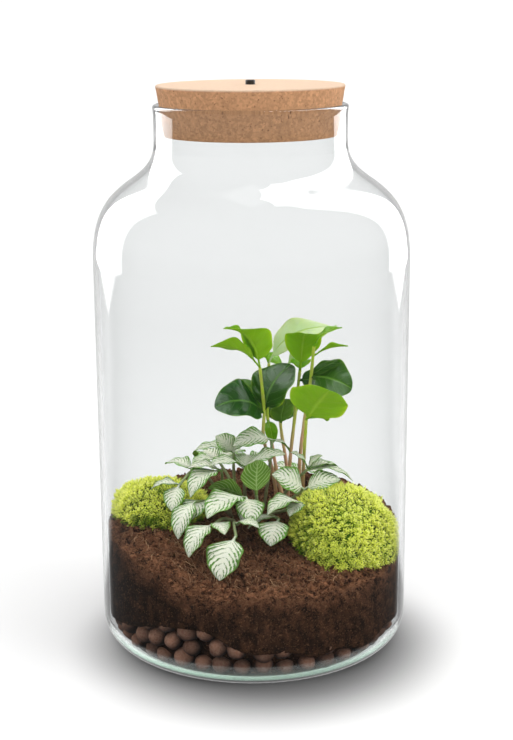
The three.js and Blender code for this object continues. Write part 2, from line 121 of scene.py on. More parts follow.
# Each cushion: centre, radii, rise, turn of its lobes, number of shoots and azimuth of its side with
# painted light

MOSS = {
    "moss_left": {
        "centre": (-54.0, 3.0), "radii": (28.5, 26.0), "rise": 18.0, "turn": 0.4, "shoots": 900,
        "sunny": 2.4,
    },
    "moss_right": {
        "centre": (49.5, -21.0), "radii": (30.0, 28.0), "rise": 32.0, "turn": 1.7, "shoots": 1500,
        "sunny": -0.1,
    },
    "moss_tuft": {
        "centre": (70.0, 22.0), "radii": (6.0, 5.0), "rise": 5.5, "turn": 0.9, "shoots": 60,
        "sunny": 0.0,
    },
}
MOSS_SHAPE = {"roundness": 0.8, "lobes": (0.05, 0.03), "core": 2.2}

# A stem's path starts with its foot on the soil and goes on through points above it. A leaf is
# (place on the stem, azimuth, lift, length, width, arch, roll), and for the coffee plants a youth and
# sheen value from 0, dark and old, to 1, bright and young, and on to 1.5, pale with painted sheen. Angles
# are in degrees.

COFFEE = [
    {
        "path": ((14, 12), (11.5, 10.5, 90), (6, 8.5, 112), (6.5, 8, 127), (4.2, -1, 155)),
        "seed_leaves": (
            (0.735, -161, 12, 30, 34, 0.22, -24, 0.0),
            (0.735, 32, 54, 32, 34, 0.15, 7, 0.05),
        ),
        "leaves": ((1, 159, 18, 31, 19, 0.15, 39, 1.0), (1, -153, 48, 33, 35, 0.2, 10, 1.0)),
    },
    {
        "path": ((17, 33), (13, 34, 89), (9.6, 34, 111), (8.6, 34, 119), (9.7, 34, 149)),
        "seed_leaves": (
            (0.63, 150, 48, 29, 20, 0.12, 0, 0.25),
            (0.63, -74, -50, 15, 8, 0.1, 0, 0.7),
        ),
        "leaves": ((1, -4, 30, 43, 19, 0.26, 40, 1.5), (1, 140, 34, 27, 17, 0.12, 0, 0.9)),
    },
    {
        "path": ((22, 42), (19.6, 42, 88), (16.4, 42, 113), (18.7, 43, 142)),
        "seed_leaves": (
            (0.62, -70, 64, 20, 15, 0.06, 0, 0.1),
            (0.62, 90, 18, 24, 22, 0.14, 0, 0.1),
        ),
        "leaves": ((1, 12, 38, 41, 11, 0.14, 30, 1.3), (1, 150, 20, 22, 13, 0.12, 0, 0.8)),
    },
    {
        "path": ((20, 19), (21.4, 18.5, 94), (24.2, 17.5, 121), (27.1, 16, 149)),
        "seed_leaves": ((0.93, 8, -10, 15, 15, 0.1, 34, 0.05),),
        "leaves": ((1, -84, 50, 34, 21, 0.2, -8, 1.0), (1, 84, 4, 16, 12, 0.12, 0, 0.9)),
    },
    {
        "path": ((26, 13), (27, 11.5, 98), (29.5, 9, 122), (32.7, 7, 145), (34.4, 2.5, 166)),
        "seed_leaves": (
            (0.78, -10, -15, 24, 29, 0.12, 32, 0.1),
            (0.78, 24, 20, 20, 11, 0.08, 10, 0.1),
        ),
        "leaves": ((0.93, 14, 12, 21, 12, 0.08, -24, 1.0), (1, -20, 36, 20, 9, 0.13, 16, 0.9)),
    },
    {
        "path": ((28, 8), (29, 5, 100), (29.8, -8, 127)),
        "seed_leaves": (
            (1, -62, 42, 33, 33, 0.05, -33, 0.9),
            (1, 40, -14, 16, 14, 0.16, 0, 0.8),
        ),
        "leaves": (),
    },
]

NERVE_PLANT = [
    (
        ((-4, 6), (-5, 0, 86), (-4.5, -5, 98.8)),
        ((1, -150, 11, 22, 18, 0.1, 0), (1, -16, 21, 25, 16, 0.08, 10), (0.86, 84, 18, 16, 13, 0.14, 0)),
    ),
    (
        ((6, 4), (9, 3, 92), (10.9, 4, 111.5)),
        ((1, -164, -4, 23, 15, 0.16, -26), (1, 12, -38, 13, 10, 0.14, 0)),
    ),
    (
        ((-9, 11), (-11, 9, 90), (-11, 6, 103.5)),
        ((1, 167, 42, 14, 14, 0.08, -30), (1, 175, 1, 23, 15, 0.14, 0), (1, 82, 14, 17, 14, 0.14, 0)),
    ),
    (
        ((-13, 3), (-17, -1, 87), (-17.6, -11, 98.4)),
        ((1, -173, 6, 19, 15, 0.12, 0), (1, -143, -28, 24, 18, 0.22, 0)),
    ),
    (
        ((-4, -2), (-4, -13, 80), (-4, -24, 87)),
        (
            (1, -143, -14, 27, 24, 0.16, 0),
            (1, -76, -38, 17, 16, 0.14, 0),
            (0.55, -164, -5, 19, 15, 0.12, 50),
            (0.8, 172, 15, 22, 14, 0.15, 60),
            (0.88, -102, -50, 14, 8, 0.1, 0),
        ),
    ),
    (
        ((-17, 8), (-24, 2, 88), (-33, -8, 98), (-41, -16, 92)),
        ((1, -111, -48, 16, 13, 0.1, 0), (1, 178, -10, 16, 12, 0.14, 0), (0.7, 152, 4, 18, 14, 0.16, 0)),
    ),
    (
        ((-6, -9), (-9, -26, 72), (-10.5, -41, 78), (-9.4, -50, 74)),
        ((1, -120, -48, 26, 22, 0.1, 0), (0.7, -28, 2, 15, 12, 0.14, 0)),
    ),
    (((2, 1), (2.4, -11, 76), (1.8, -20, 87)), ((1, -75, 79, 22, 17, 0.08, 0),)),
    (
        ((10, 3), (20, -6, 79), (28.6, -10, 86.5)),
        ((1, -162, 30, 22, 17, 0.1, -45), (1, 0, 16, 21, 14, 0.14, 32)),
    ),
    (
        ((13, 6), (22, -1, 87), (31, -6, 97.5)),
        (
            (1, -176, 45, 14, 12, 0.1, 0),
            (1, 10, 42, 11, 10, 0.1, 0),
            (1, 26, -4, 19, 12, 0.12, 0),
            (0.94, 2, -14, 27, 13, 0.16, 0),
        ),
    ),
    (
        ((5, -6), (10, -18, 74), (14, -29, 76)),
        ((1, -112, -42, 17, 18, 0.12, 0), (0.8, -158, -14, 17, 9, 0.16, 0)),
    ),
    (
        ((-8, 19), (-15, 25, 84), (-20, 29, 91)),
        ((1, 130, -6, 23, 17, 0.18, 0), (1, 40, 6, 20, 16, 0.16, 0), (1, -150, 2, 18, 15, 0.14, 0)),
    ),
    (
        ((2, 22), (0, 30, 80), (-1, 36, 87)),
        ((1, 96, -12, 23, 17, 0.18, 0), (1, 168, 6, 15, 13, 0.16, 0), (1, 50, -4, 19, 15, 0.16, 0)),
    ),
    (
        ((-12, -3), (-22, -14, 81), (-31.7, -24, 85)),
        ((1, -122, -44, 24, 14, 0.2, 0), (0.66, -126, -22, 22, 17, 0.18, 0)),
    ),
    (
        ((-11, -10), (-17, -28, 76), (-21.4, -42, 78)),
        ((1, -136, -38, 23, 16, 0.2, 0), (0.9, -66, -10, 13, 11, 0.14, 0)),
    ),
    (
        ((8, -3), (17, -15, 76), (27, -23, 83)),
        ((1, -152, -8, 22, 18, 0.2, 0), (1, -122, -14, 14, 11, 0.12, 0)),
    ),
    (
        ((13, 45), (19, 50, 72), (26, 52, 75)),
        ((1, 58, -6, 18, 14, 0.16, 0), (1, -8, 4, 18, 14, 0.14, 0), (1, 150, 8, 18, 14, 0.14, 0)),
    ),
]

# A leaf's stalk: its radius, and its share of the leaf's length

STALK = 0.8
STALK_SHARE = 0.12

# How a leaf is cut and bent: the fold along its midrib, the waves of its edge and its side veins

COFFEE_SEED_LEAF = {
    "width": lambda u: np.sin(math.pi * u**0.8).clip(0) ** 0.5,
    "fold": 0.1,
    "wave": 0.06,
    "waves": 2.2,
    "veins": 5.0,
    "pucker": 0.05,
}
COFFEE_LEAF = {
    "width": lambda u: np.sin(math.pi * u**0.8).clip(0) ** 0.8 * (1 - 0.35 * u**5),
    "fold": 0.28,
    "wave": 0.12,
    "waves": 2.0,
    "veins": 6.0,
    "pucker": 0.035,
}
NERVE_LEAF = {
    "width": lambda u: np.sin(math.pi * u**0.8).clip(0) ** 0.7,
    "fold": 0.22,
    "wave": 0.1,
    "waves": 2.5,
    "veins": 7.0,
    "pucker": 0.05,
}


# Surfaces

def circle(around):
    """The angles of evenly spaced places round a circle."""
    return np.arange(around) / around * TAU


def round_axis(radius, angle, height):
    """Points by their radius, angle and height round the z axis."""
    return np.stack(np.broadcast_arrays(radius * np.cos(angle), radius * np.sin(angle), height), -1)


def unit(vectors):
    """The vectors' directions, one long each."""
    return vectors / np.linalg.norm(vectors, axis=-1, keepdims=True)


def smooth_step(value, low, high):
    """From 0 to 1 between two levels, level at both: 3 s^2 - 2 s^3."""
    share = np.clip((value - low) / (high - low), 0, 1)
    return share * share * (3 - 2 * share)


def closed_faces(rings, around):
    """Faces of a surface of rings with a point at each end, listed after the rings: quads between
    neighbouring rings, and triangles from the end rings to the end points."""
    j = np.arange(around)
    k = (j + 1) % around
    i = np.arange(rings - 1)[:, None] * around
    quads = np.stack([i + j, i + k, i + around + k, i + around + j], -1).reshape(-1, 4)
    last = (rings - 1) * around
    start = np.stack([k, j, np.full(around, rings * around)], -1)
    end = np.stack([last + j, last + k, np.full(around, rings * around + 1)], -1)
    return [quads, np.concatenate([start, end])]


def copies_of(faces, points_each, copies):
    """The same faces once for each copy, each copy's point numbers following the last one's."""
    offsets = np.arange(copies)[:, None, None] * points_each
    return [(group[None] + offsets).reshape(-1, group.shape[1]) for group in faces]


def turned(profile, around):
    """A profile of (radius, height) points carried round the z axis. It starts and ends on the axis."""
    radius, height = np.array(profile[1:-1], float).T[..., None]
    rings = round_axis(radius, circle(around), height)
    ends = np.array([[0, 0, profile[0][1]], [0, 0, profile[-1][1]]], float)
    return np.concatenate([rings.reshape(-1, 3), ends]), closed_faces(len(radius), around)


def arc(centre, radii, start, end, steps):
    """Points on part of an ellipse between two angles in degrees."""
    angle = np.radians(np.linspace(start, end, steps + 1))
    return list(zip(centre[0] + radii[0] * np.cos(angle), centre[1] + radii[1] * np.sin(angle)))


def roughness(points, size, seed, waves=12):
    """Smooth noise of about -1 to 1: the sum of sines with wavelengths near size in seeded directions."""
    random = np.random.default_rng(seed)
    directions = random.normal(size=(waves, points.shape[-1]))
    lengths = np.linalg.norm(directions, axis=1)[:, None]
    directions *= TAU / size * random.uniform(0.6, 1.5, (waves, 1)) / lengths
    phases = random.uniform(0, TAU, waves)
    return np.sin(points @ directions.T + phases).sum(-1) / math.sqrt(waves)


def ball(rings, around):
    """A unit ball as rings of latitude with a point at each pole."""
    tilt = (np.arange(rings) + 1)[:, None] / (rings + 1) * math.pi - math.pi / 2
    points = round_axis(np.cos(tilt), circle(around), np.sin(tilt)).reshape(-1, 3)
    return np.concatenate([points, [[0, 0, -1], [0, 0, 1]]]), closed_faces(rings, around)


def random_turns(random, count):
    """Seeded turns in space, as matrices worked out from quaternions with four normal draws."""
    draws = random.normal(size=(4, count))
    w, x, y, z = draws / np.linalg.norm(draws, axis=0)
    return np.stack(
        [
            np.stack([1 - 2 * (y * y + z * z), 2 * (x * y - z * w), 2 * (x * z + y * w)], -1),
            np.stack([2 * (x * y + z * w), 1 - 2 * (x * x + z * z), 2 * (y * z - x * w)], -1),
            np.stack([2 * (x * z - y * w), 2 * (y * z + x * w), 1 - 2 * (x * x + y * y)], -1),
        ],
        1,
    )


def tubes(paths, radii, around):
    """Round tubes along many paths at once. Each ring lies across its path, with one axis level, and
    the ends are closed with a point."""
    along = unit(np.gradient(paths, axis=1))
    level = unit(np.cross(along, [0.02, -0.03, 1.0]))
    rise = np.cross(level, along)
    angle = circle(around)[:, None]
    spread = np.cos(angle) * rise[:, :, None] + np.sin(angle) * level[:, :, None]
    rings = paths[:, :, None] - radii[..., None, None] * spread
    count, steps = paths.shape[:2]
    points = np.concatenate([rings.reshape(count, -1, 3), paths[:, :1], paths[:, -1:]], 1)
    return points.reshape(-1, 3), copies_of(closed_faces(steps, around), points.shape[1], count)


class Gathered:
    """Collects surfaces for one mesh, with their UVs, finishes and named values for each point."""

    def __init__(self, *names):
        self.points, self.faces, self.finishes, self.uvs = [], [], [], []
        self.values = {name: [] for name in names}
        self.total = 0

    def add(self, points, faces, uv=None, finish=0, **values):
        """Adds one surface. A named value that it isn't given is 0 on it."""
        for group in faces:
            self.faces.append(group + self.total)
            self.finishes.append(np.full(len(group), finish))
        self.points.append(points)
        self.uvs.append(np.zeros((len(points), 2)) if uv is None else uv)
        for name, parts in self.values.items():
            parts.append(np.broadcast_to(values.get(name, 0.0), len(points)))
        self.total += len(points)

    def to_piece(self, name, materials, slot, *nodes):
        """Makes the mesh object, which rides on the jar's one body and stands for the given solids."""
        mesh = bpy.data.meshes.new(name)
        points = np.concatenate(self.points) * MM
        corners = np.concatenate([group.ravel() for group in self.faces]).astype(np.int32)
        sizes = np.concatenate([np.full(len(group), group.shape[1]) for group in self.faces])
        starts = np.concatenate([[0], np.cumsum(sizes)[:-1]]).astype(np.int32)
        mesh.vertices.add(len(points))
        mesh.vertices.foreach_set("co", points.astype(np.float32).ravel())
        mesh.loops.add(len(corners))
        mesh.loops.foreach_set("vertex_index", corners)
        mesh.polygons.add(len(sizes))
        mesh.polygons.foreach_set("loop_start", starts)
        mesh.polygons.foreach_set("material_index", np.concatenate(self.finishes).astype(np.int32))
        mesh.update(calc_edges=True)
        mesh.uv_layers.new(name="UVMap").data.foreach_set(
            "uv", np.concatenate(self.uvs)[corners].astype(np.float32).ravel()
        )
        for value_name, parts in self.values.items():
            layer = mesh.attributes.new(value_name, "FLOAT", "POINT")
            layer.data.foreach_set("value", np.concatenate(parts).astype(np.float32))
        for material in materials:
            mesh.materials.append(material)
        mesh.shade_smooth()
        piece = bpy.data.objects.new(name, mesh)
        bpy.context.scene.collection.objects.link(piece)
        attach(piece, "root")
        if nodes:
            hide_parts(*nodes)


def make_piece(name, surface, material, slot, *nodes, **values):
    """Makes the mesh object of one surface."""
    gathered = Gathered(*values)
    gathered.add(*surface, **values)
    gathered.to_piece(name, [material], slot, *nodes)


# Shader nodes

class Wire:
    """A node's output. Sums, products and powers with it are Math nodes, > and < give 1 or 0, and | the
    larger of two values."""

    def __init__(self, shading, socket):
        self.shading, self.socket = shading, socket

    def __add__(self, other):
        return self.shading.math("ADD", self, other)

    def __sub__(self, other):
        return self.shading.math("SUBTRACT", self, other)

    def __rsub__(self, other):
        return self.shading.math("SUBTRACT", other, self)

    def __mul__(self, other):
        return self.shading.math("MULTIPLY", self, other)

    def __truediv__(self, other):
        return self.shading.math("DIVIDE", self, other)

    def __pow__(self, other):
        return self.shading.math("POWER", self, other)

    def __gt__(self, other):
        return self.shading.math("GREATER_THAN", self, other)

    def __lt__(self, other):
        return self.shading.math("LESS_THAN", self, other)

    def __or__(self, other):
        return self.shading.math("MAXIMUM", self, other)

    def __abs__(self):
        return self.shading.math("ABSOLUTE", self)

    def step(self, low, high, new_low=0.0, new_high=1.0):
        """A smooth step from one new level to the other between two levels of this value."""
        values = {"Value": self, "From Min": low, "From Max": high, "To Min": new_low, "To Max": new_high}
        return self.shading.node("MapRange", values, interpolation_type="SMOOTHSTEP")[0]

    def mix(self, first, second):
        """From the first colour at 0 to the second at 1."""
        return self.shading.node("Mix", {0: self, 6: first, 7: second}, data_type="RGBA")[2]

    def blend(self, first, second):
        """From the first value at 0 to the second at 1."""
        return self.shading.node("Mix", {0: self, 2: first, 3: second}, data_type="FLOAT")[0]


class Outputs:
    """A node's outputs as wires, by name or number."""

    def __init__(self, shading, node):
        self.shading, self.sockets = shading, node.outputs

    def __getitem__(self, name):
        return Wire(self.shading, self.sockets[name])


class Shading:
    """Adds nodes to one node tree. A value that is a wire is linked, and any other is set."""

    def __init__(self, tree, material=None):
        self.tree, self.material = tree, material

    def put(self, socket, value):
        """Links or sets one input."""
        if isinstance(value, Wire):
            self.tree.links.new(value.socket, socket)
        elif socket.type == "RGBA":
            socket.default_value = (*value, 1.0)
        else:
            socket.default_value = value

    def node(self, kind, values=None, **settings):
        """Adds a node with its settings and with values on its inputs, by name or number."""
        node = self.tree.nodes.new("ShaderNode" + kind)
        for name, value in settings.items():
            setattr(node, name, value)
        for name, value in (values or {}).items():
            self.put(node.inputs[name], value)
        return Outputs(self, node)

    def math(self, operation, *values):
        """The value of a Math node."""
        return self.node("Math", dict(enumerate(values)), operation=operation)[0]

    def vector(self, operation, *values):
        """The outputs of a Vector Math node."""
        return self.node("VectorMath", dict(enumerate(values)), operation=operation)

    def noise(self, place, scale, detail=3.0, rough=0.55):
        """Cloudy noise round 0.5, with as many features in a unit of the place as the scale says."""
        values = {"Vector": place, "Scale": scale, "Detail": detail, "Roughness": rough}
        return self.node("TexNoise", values)[0]

    def cells(self, place, scale, feature="F1"):
        """Voronoi cells, with as many in a unit of the place as the scale says."""
        return self.node("TexVoronoi", {"Vector": place, "Scale": scale}, feature=feature)

    def group(self, name, *values):
        """The outputs of a shared effect, with values on its inputs in their order."""
        node = self.node("Group", dict(enumerate(values)), node_tree=shared_group(name))
        return [node[output] for output in node.sockets.keys()]

    def value_of(self, name):
        """A named value that the mesh holds for each point."""
        return self.node("Attribute", attribute_name=name)["Fac"]

    def place(self):
        """The point's place in the part, in metres."""
        return self.node("TexCoord")["Object"]

    def height(self):
        """The point's height over the ground, in metres."""
        return self.node("SeparateXYZ", {0: self.place()})["Z"]

    def leaf_map(self):
        """The point's place on its leaf, u along it and v across it."""
        return self.node("UVMap", uv_map="UVMap")[0]

    def shader(self, color, rough, bump=None, depth=0.0002, **constants):
        """The material's own shader. Constants are set on its sockets."""
        values = {"Base Color": color, "Roughness": rough}
        values.update({name.replace("_", " "): value for name, value in constants.items()})
        if bump is not None:
            values["Normal"] = self.node("Bump", {"Height": bump, "Distance": depth, "Strength": 1.0})[0]
        return self.node("BsdfPrincipled", values)[0]

    def finish(self, *surface, **constants):
        """Puts a shader with these values on the material and gives the material back."""
        self.node("OutputMaterial", {"Surface": self.shader(*surface, **constants)})
        return self.material


def new_material(name):
    """An empty material, as the shading that adds its nodes."""
    material = bpy.data.materials.new(name)
    material.use_nodes = True
    material.node_tree.nodes.clear()
    return Shading(material.node_tree, material)


def times(share, color):
    """A colour made darker or lighter, up to full strength."""
    return tuple(min(1.0, share * c) for c in color)


def mottle_effect(shading, given):
    """Soft and fine noise on Object coordinates: a broad mask and a fine one."""
    place = shading.place()
    return {
        "Broad": shading.noise(place, given["Broad Scale"], 2.0).step(0.35, 0.65),
        "Fine": shading.noise(place, given["Fine Scale"], 4.0, 0.65).step(0.3, 0.7),
    }


def grains_effect(shading, given):
    """Grains packed side by side: a random shade for each, the groove between them and ragged specks."""
    place = shading.place()
    warp = shading.node("TexNoise", {"Vector": place, "Scale": 1100.0, "Detail": 2.0})["Color"]
    shift = shading.node("VectorMath", {0: warp, "Scale": 0.0012}, operation="SCALE")["Vector"]
    bent = shading.vector("ADD", place, shift)["Vector"]
    cell_color = shading.cells(bent, given["Scale"])["Color"]
    edge = shading.cells(bent, given["Scale"], "DISTANCE_TO_EDGE")["Distance"]
    flecks = shading.noise(place, given["Speck Scale"], 3.0, 0.6) - given["Speck Level"]
    return {
        "Shade": shading.node("SeparateColor", {"Color": cell_color})[0],
        "Groove": edge.step(0.0, 0.12),
        "Specks": flecks.step(0.0, 0.03),
    }


def veins_effect(shading, given):
    """Veins of a leaf from its UV map: u runs along the leaf and v across it, with the midrib at 0.5.
    Side veins leave the midrib at a slant, and a net of cells that follows them lies between."""
    uv = shading.leaf_map()
    parts = shading.node("SeparateXYZ", {0: uv})
    u, v = parts["X"], parts["Y"]
    out = abs(v * 2.0 - 1.0)
    sway = shading.noise(uv, 6.0, 1.0) * 0.05 - 0.025
    run = (u - given["Slant"] * out**1.3 + sway) * given["Count"]
    across = v * 3.0 + out * given["Net Scale"]
    slanted = shading.node("CombineXYZ", {0: run, 1: across})["Vector"]
    return {
        "Midrib": out.step(0.1, 0.0),
        "Side": abs(shading.math("FRACT", run) - 0.5) * 2.0,
        "Net": shading.cells(slanted, 1.0, "DISTANCE_TO_EDGE")["Distance"],
        "Out": out,
    }


# Effects that more than one material uses, with the names and defaults of their inputs

SHARED = {
    "mottle": (mottle_effect, {"Broad Scale": 40.0, "Fine Scale": 400.0}),
    "grains": (grains_effect, {"Scale": 400.0, "Speck Scale": 900.0, "Speck Level": 0.66}),
    "leaf veins": (veins_effect, {"Count": 6.0, "Slant": 0.22, "Net Scale": 12.0}),
}


def shared_group(name):
    """The shader node group of that name, built the first time that a material asks for it."""
    if name in bpy.data.node_groups:
        return bpy.data.node_groups[name]
    effect, inputs = SHARED[name]
    tree = bpy.data.node_groups.new(name, "ShaderNodeTree")
    for label, default in inputs.items():
        socket = tree.interface.new_socket(name=label, in_out="INPUT", socket_type="NodeSocketFloat")
        socket.default_value = default
    shading = Shading(tree)
    results = effect(shading, Outputs(shading, tree.nodes.new("NodeGroupInput")))
    for label in results:
        tree.interface.new_socket(name=label, in_out="OUTPUT", socket_type="NodeSocketFloat")
    ends = tree.nodes.new("NodeGroupOutput").inputs
    for label, wire in results.items():
        shading.put(ends[label], wire)
    return tree


# Materials

BLACK = (0.0, 0.0, 0.0)

# On the paper, in metres: the way to the middle of the jar's painted shade, the radii where that shade
# ends and where it is full, the radii past which mirrors show the paper dark, a painted reflection, and
# those where the painted glow under the foot, for light that the foot gathers, ends and where it is full

SHADE_SHIFT = (-0.007, 0.025, 0.0)
SHADE_REACH = (0.118, 0.055)
PAST_FOOT = (0.092, 0.096)
UNDER_FOOT = (0.1, 0.092)


def glass_material(settings):
    """Clear glass, a little green where it is thick at the foot, with painted shade where it is seen edge
    on.
    Shadow rays and soft light go straight through it, and so does what is seen through its front wall, so
    that its contents stay clear. In reflections, glass passed straight through is tinted grey: painted
    shade that darkens the jar's edges."""
    shading = new_material("clear glass")
    color = shading.height().step(0.014, 0.002).mix(settings.glass_color, settings.foot_color)
    # Painted shade: the glass darkens where it is seen edge on
    edge_on = shading.node("LayerWeight", {"Blend": 0.5})["Facing"].step(0.62, 0.95)
    color = edge_on.mix(color, settings.rim_color)
    glass = shading.shader(color, 0.0, Transmission_Weight=1.0, IOR=1.45)
    path = shading.node("LightPath")
    deep = path["Transmission Depth"] | path["Diffuse Depth"] * 2.0
    mirrored = path["Glossy Depth"] > 0.5
    on_face = path["Transmission Depth"] < 0.5
    plain = path["Is Shadow Ray"] | (deep > 1.5) | mirrored * on_face
    # Painted shade: in reflections the glass passed straight through is tinted grey, which darkens the
    # edges
    clear_color = mirrored.mix(settings.far_color, (0.86, 0.87, 0.87))
    clear = shading.node("BsdfTransparent", {"Color": clear_color})[0]
    either = shading.node("MixShader", {0: plain, 1: glass, 2: clear})[0]
    shading.node("OutputMaterial", {"Surface": either})
    return shading.material


def cork_material(settings):
    """Ground cork: pressed granules of uneven tan with dark bark specks, and paler on top with painted
    light.
    """
    shading = new_material("ground cork")
    shade, groove, specks = shading.group("grains", 800.0, 620.0, 0.66)
    broad, fine = shading.group("mottle", 260.0, 1600.0)
    dark, light = times(0.72, settings.cork_color), times(1.25, settings.cork_color)
    color = shade.mix(dark, light)
    color = (fine * 0.4).mix(color, light)
    color = (broad * 0.35).mix(color, dark)
    color = (specks * 0.85).mix(color, (0.09, 0.035, 0.02))
    # Painted light: the top, which faces the lamps, is paler
    painted_light_on_top = shading.height().step(0.3085, 0.3095)
    color = (painted_light_on_top * 0.75).mix(color, settings.cork_top_painted_light)
    bump = groove * 0.5 + fine - specks
    return shading.finish(color, 0.82, bump, 0.00012, Specular_IOR_Level=0.25)


def stud_material():
    """Satin black plastic with fine wear."""
    shading = new_material("black plastic")
    broad, fine = shading.group("mottle", 300.0, 1500.0)
    color = broad.mix((0.012, 0.012, 0.012), (0.03, 0.028, 0.026))
    return shading.finish(color, fine.step(0.0, 1.0, 0.35, 0.5), fine, 0.00002)


def clay_material():
    """Fired clay: red brown with darker and dusty places, pitted. Its tone, random times painted light, is
    0 on the side turned from the glass and from above: painted shade.
    """
    shading = new_material("fired clay")
    broad, fine = shading.group("mottle", 110.0, 900.0)
    *_, specks = shading.group("grains", 900.0, 420.0, 0.7)
    tone = shading.value_of("tone")
    # Painted shade where the tone is low
    color = tone.mix((0.012, 0.006, 0.004), (0.3, 0.135, 0.083))
    color = (broad * 0.35).mix(color, (0.06, 0.032, 0.024))
    color = (fine * tone * 0.4).mix(color, (0.4, 0.27, 0.2))
    color = specks.mix(color, (0.02, 0.01, 0.008))
    return shading.finish(color, 0.85, fine - specks, 0.0003, Specular_IOR_Level=0.3)


def soil_material(settings):
    """Damp planting soil: crumbs and clods in high contrast, with painted shade in their low places, and
    light bark specks. The tone is 1 in the open and falls to 0 where the soil lies on the glass: painted
    shade."""
    shading = new_material("planting soil")
    shade, groove, specks = shading.group("grains", 900.0, 1000.0, 0.6)
    tone = shading.value_of("tone")
    base = settings.soil_color
    place = shading.place()
    level = shading.noise(place, 240.0, 2.0, 0.6) * 0.45 + shading.noise(place, 1100.0, 3.0, 0.75) * 0.55
    in_open = shade.mix(base, times(0.6, base))
    # The tone's fall where the soil lies on the glass is painted shade
    high = tone.mix(times(0.042, base), in_open)
    # Painted shade: the low places of the noise that also raises the bump are nearly black
    color = level.step(0.38, 0.56).mix(times(0.03, base), high)
    color = (specks * (tone * 0.4 + 0.2)).mix(color, settings.crumb_color)
    bump = level * 3.0 + groove * 0.4
    return shading.finish(color, 0.95, bump, 0.0011, Specular_IOR_Level=0.05)


def fibre_material():
    """Dry root and bark fibres, from red brown to straw."""
    shading = new_material("root fibre")
    broad, fine = shading.group("mottle", 120.0, 900.0)
    color = shading.value_of("tone").mix((0.12, 0.042, 0.02), (0.72, 0.42, 0.23))
    color = (broad * 0.4).mix(color, (0.16, 0.06, 0.03))
    return shading.finish(color, 0.8, fine, 0.0001, Specular_IOR_Level=0.25)


def moss_material(settings):
    """Moss shoots: the tone runs from deep green low in the cushion to yellow green on top, partly the
    moss's colour and partly painted light and shade. Each leaflet is paler at its tip, has painted shade
    at its root and lets some light through, and its lit parts glow a little with painted light."""
    shading = new_material("star moss")
    tone, tip = shading.value_of("tone"), shading.value_of("tip")
    broad, _ = shading.group("mottle", 70.0, 500.0)
    deep, bright = settings.moss_deep, settings.moss_bright
    middle = tuple(0.35 * b + 0.65 * d for b, d in zip(bright, deep))
    color = tone.step(0.1, 0.55).mix(times(0.45, deep), middle)
    # Painted shade at the leaflets' roots
    color = tip.step(0.0, 0.4, 0.8, 0.0).mix(color, times(0.1, deep))
    # Painted light on the high parts of each leaflet
    lit = tone.step(0.05, 0.65) * tip.step(0.0, 0.6, 0.15, 1.0)
    color = (broad * 0.2).mix(lit.mix(color, bright), deep)
    # The lit parts also glow: painted light
    return shading.finish(
        color, 0.6, Subsurface_Weight=0.3, Subsurface_Radius=(0.8, 1.0, 0.2), Subsurface_Scale=0.001,
        Specular_IOR_Level=0.15, Emission_Color=lit.mix(BLACK, times(0.26, bright)), Emission_Strength=1.0,
    )


def coffee_leaf_material(settings):
    """Coffee leaf: dark and glossy above when old, bright when young, and pale with painted sheen where
    its youth and sheen value passes 1; paler below, with light veins."""
    shading = new_material("coffee leaf")
    youth, upper = shading.value_of("youth"), shading.value_of("upper")
    midrib, side, _, out = shading.group("leaf veins", 6.0, 0.3)
    broad, fine = shading.group("mottle", 90.0, 600.0)
    old = upper.mix((0.08, 0.2, 0.02), settings.old_leaf)
    young = upper.mix((0.26, 0.5, 0.006), settings.young_leaf)
    patch = youth.mix((0.02, 0.095, 0.008), (0.27, 0.52, 0.008))
    color = (broad * 0.45).mix(youth.mix(old, young), patch)
    # Painted sheen: pale grey green as the youth and sheen value goes from 1 to 1.5
    color = youth.step(1.0, 1.5).mix(color, (0.6, 0.76, 0.42))
    ribs = midrib | side.step(0.9, 1.0) * 0.45
    rib_color = youth.mix((0.12, 0.28, 0.04), (0.42, 0.64, 0.05))
    color = (ribs * 0.75).mix(color, rib_color)
    color = (out.step(0.93, 1.0) * 0.5).mix(color, rib_color)
    waves = shading.noise(shading.place(), 70.0, 2.0)
    bump = waves * 2.6 + fine * 0.25 - ribs
    return shading.finish(
        color, upper.step(0.0, 1.0, 0.5, 0.3), bump, 0.0003, Subsurface_Weight=0.5,
        Subsurface_Radius=(0.9, 1.0, 0.1), Subsurface_Scale=0.001, Specular_IOR_Level=0.24,
    )


def coffee_stem_material():
    """Coffee stem: rosy at the foot and yellow green at the top."""
    shading = new_material("coffee stem")
    broad, fine = shading.group("mottle", 200.0, 900.0)
    color = shading.value_of("tone").step(0.35, 0.75).mix((0.72, 0.4, 0.27), (0.5, 0.66, 0.04))
    color = (broad * 0.4).mix(color, (0.62, 0.5, 0.22))
    return shading.finish(
        color, 0.45, fine, 0.00008, Subsurface_Weight=0.2, Subsurface_Radius=(1.0, 0.6, 0.3),
        Subsurface_Scale=0.001,
    )


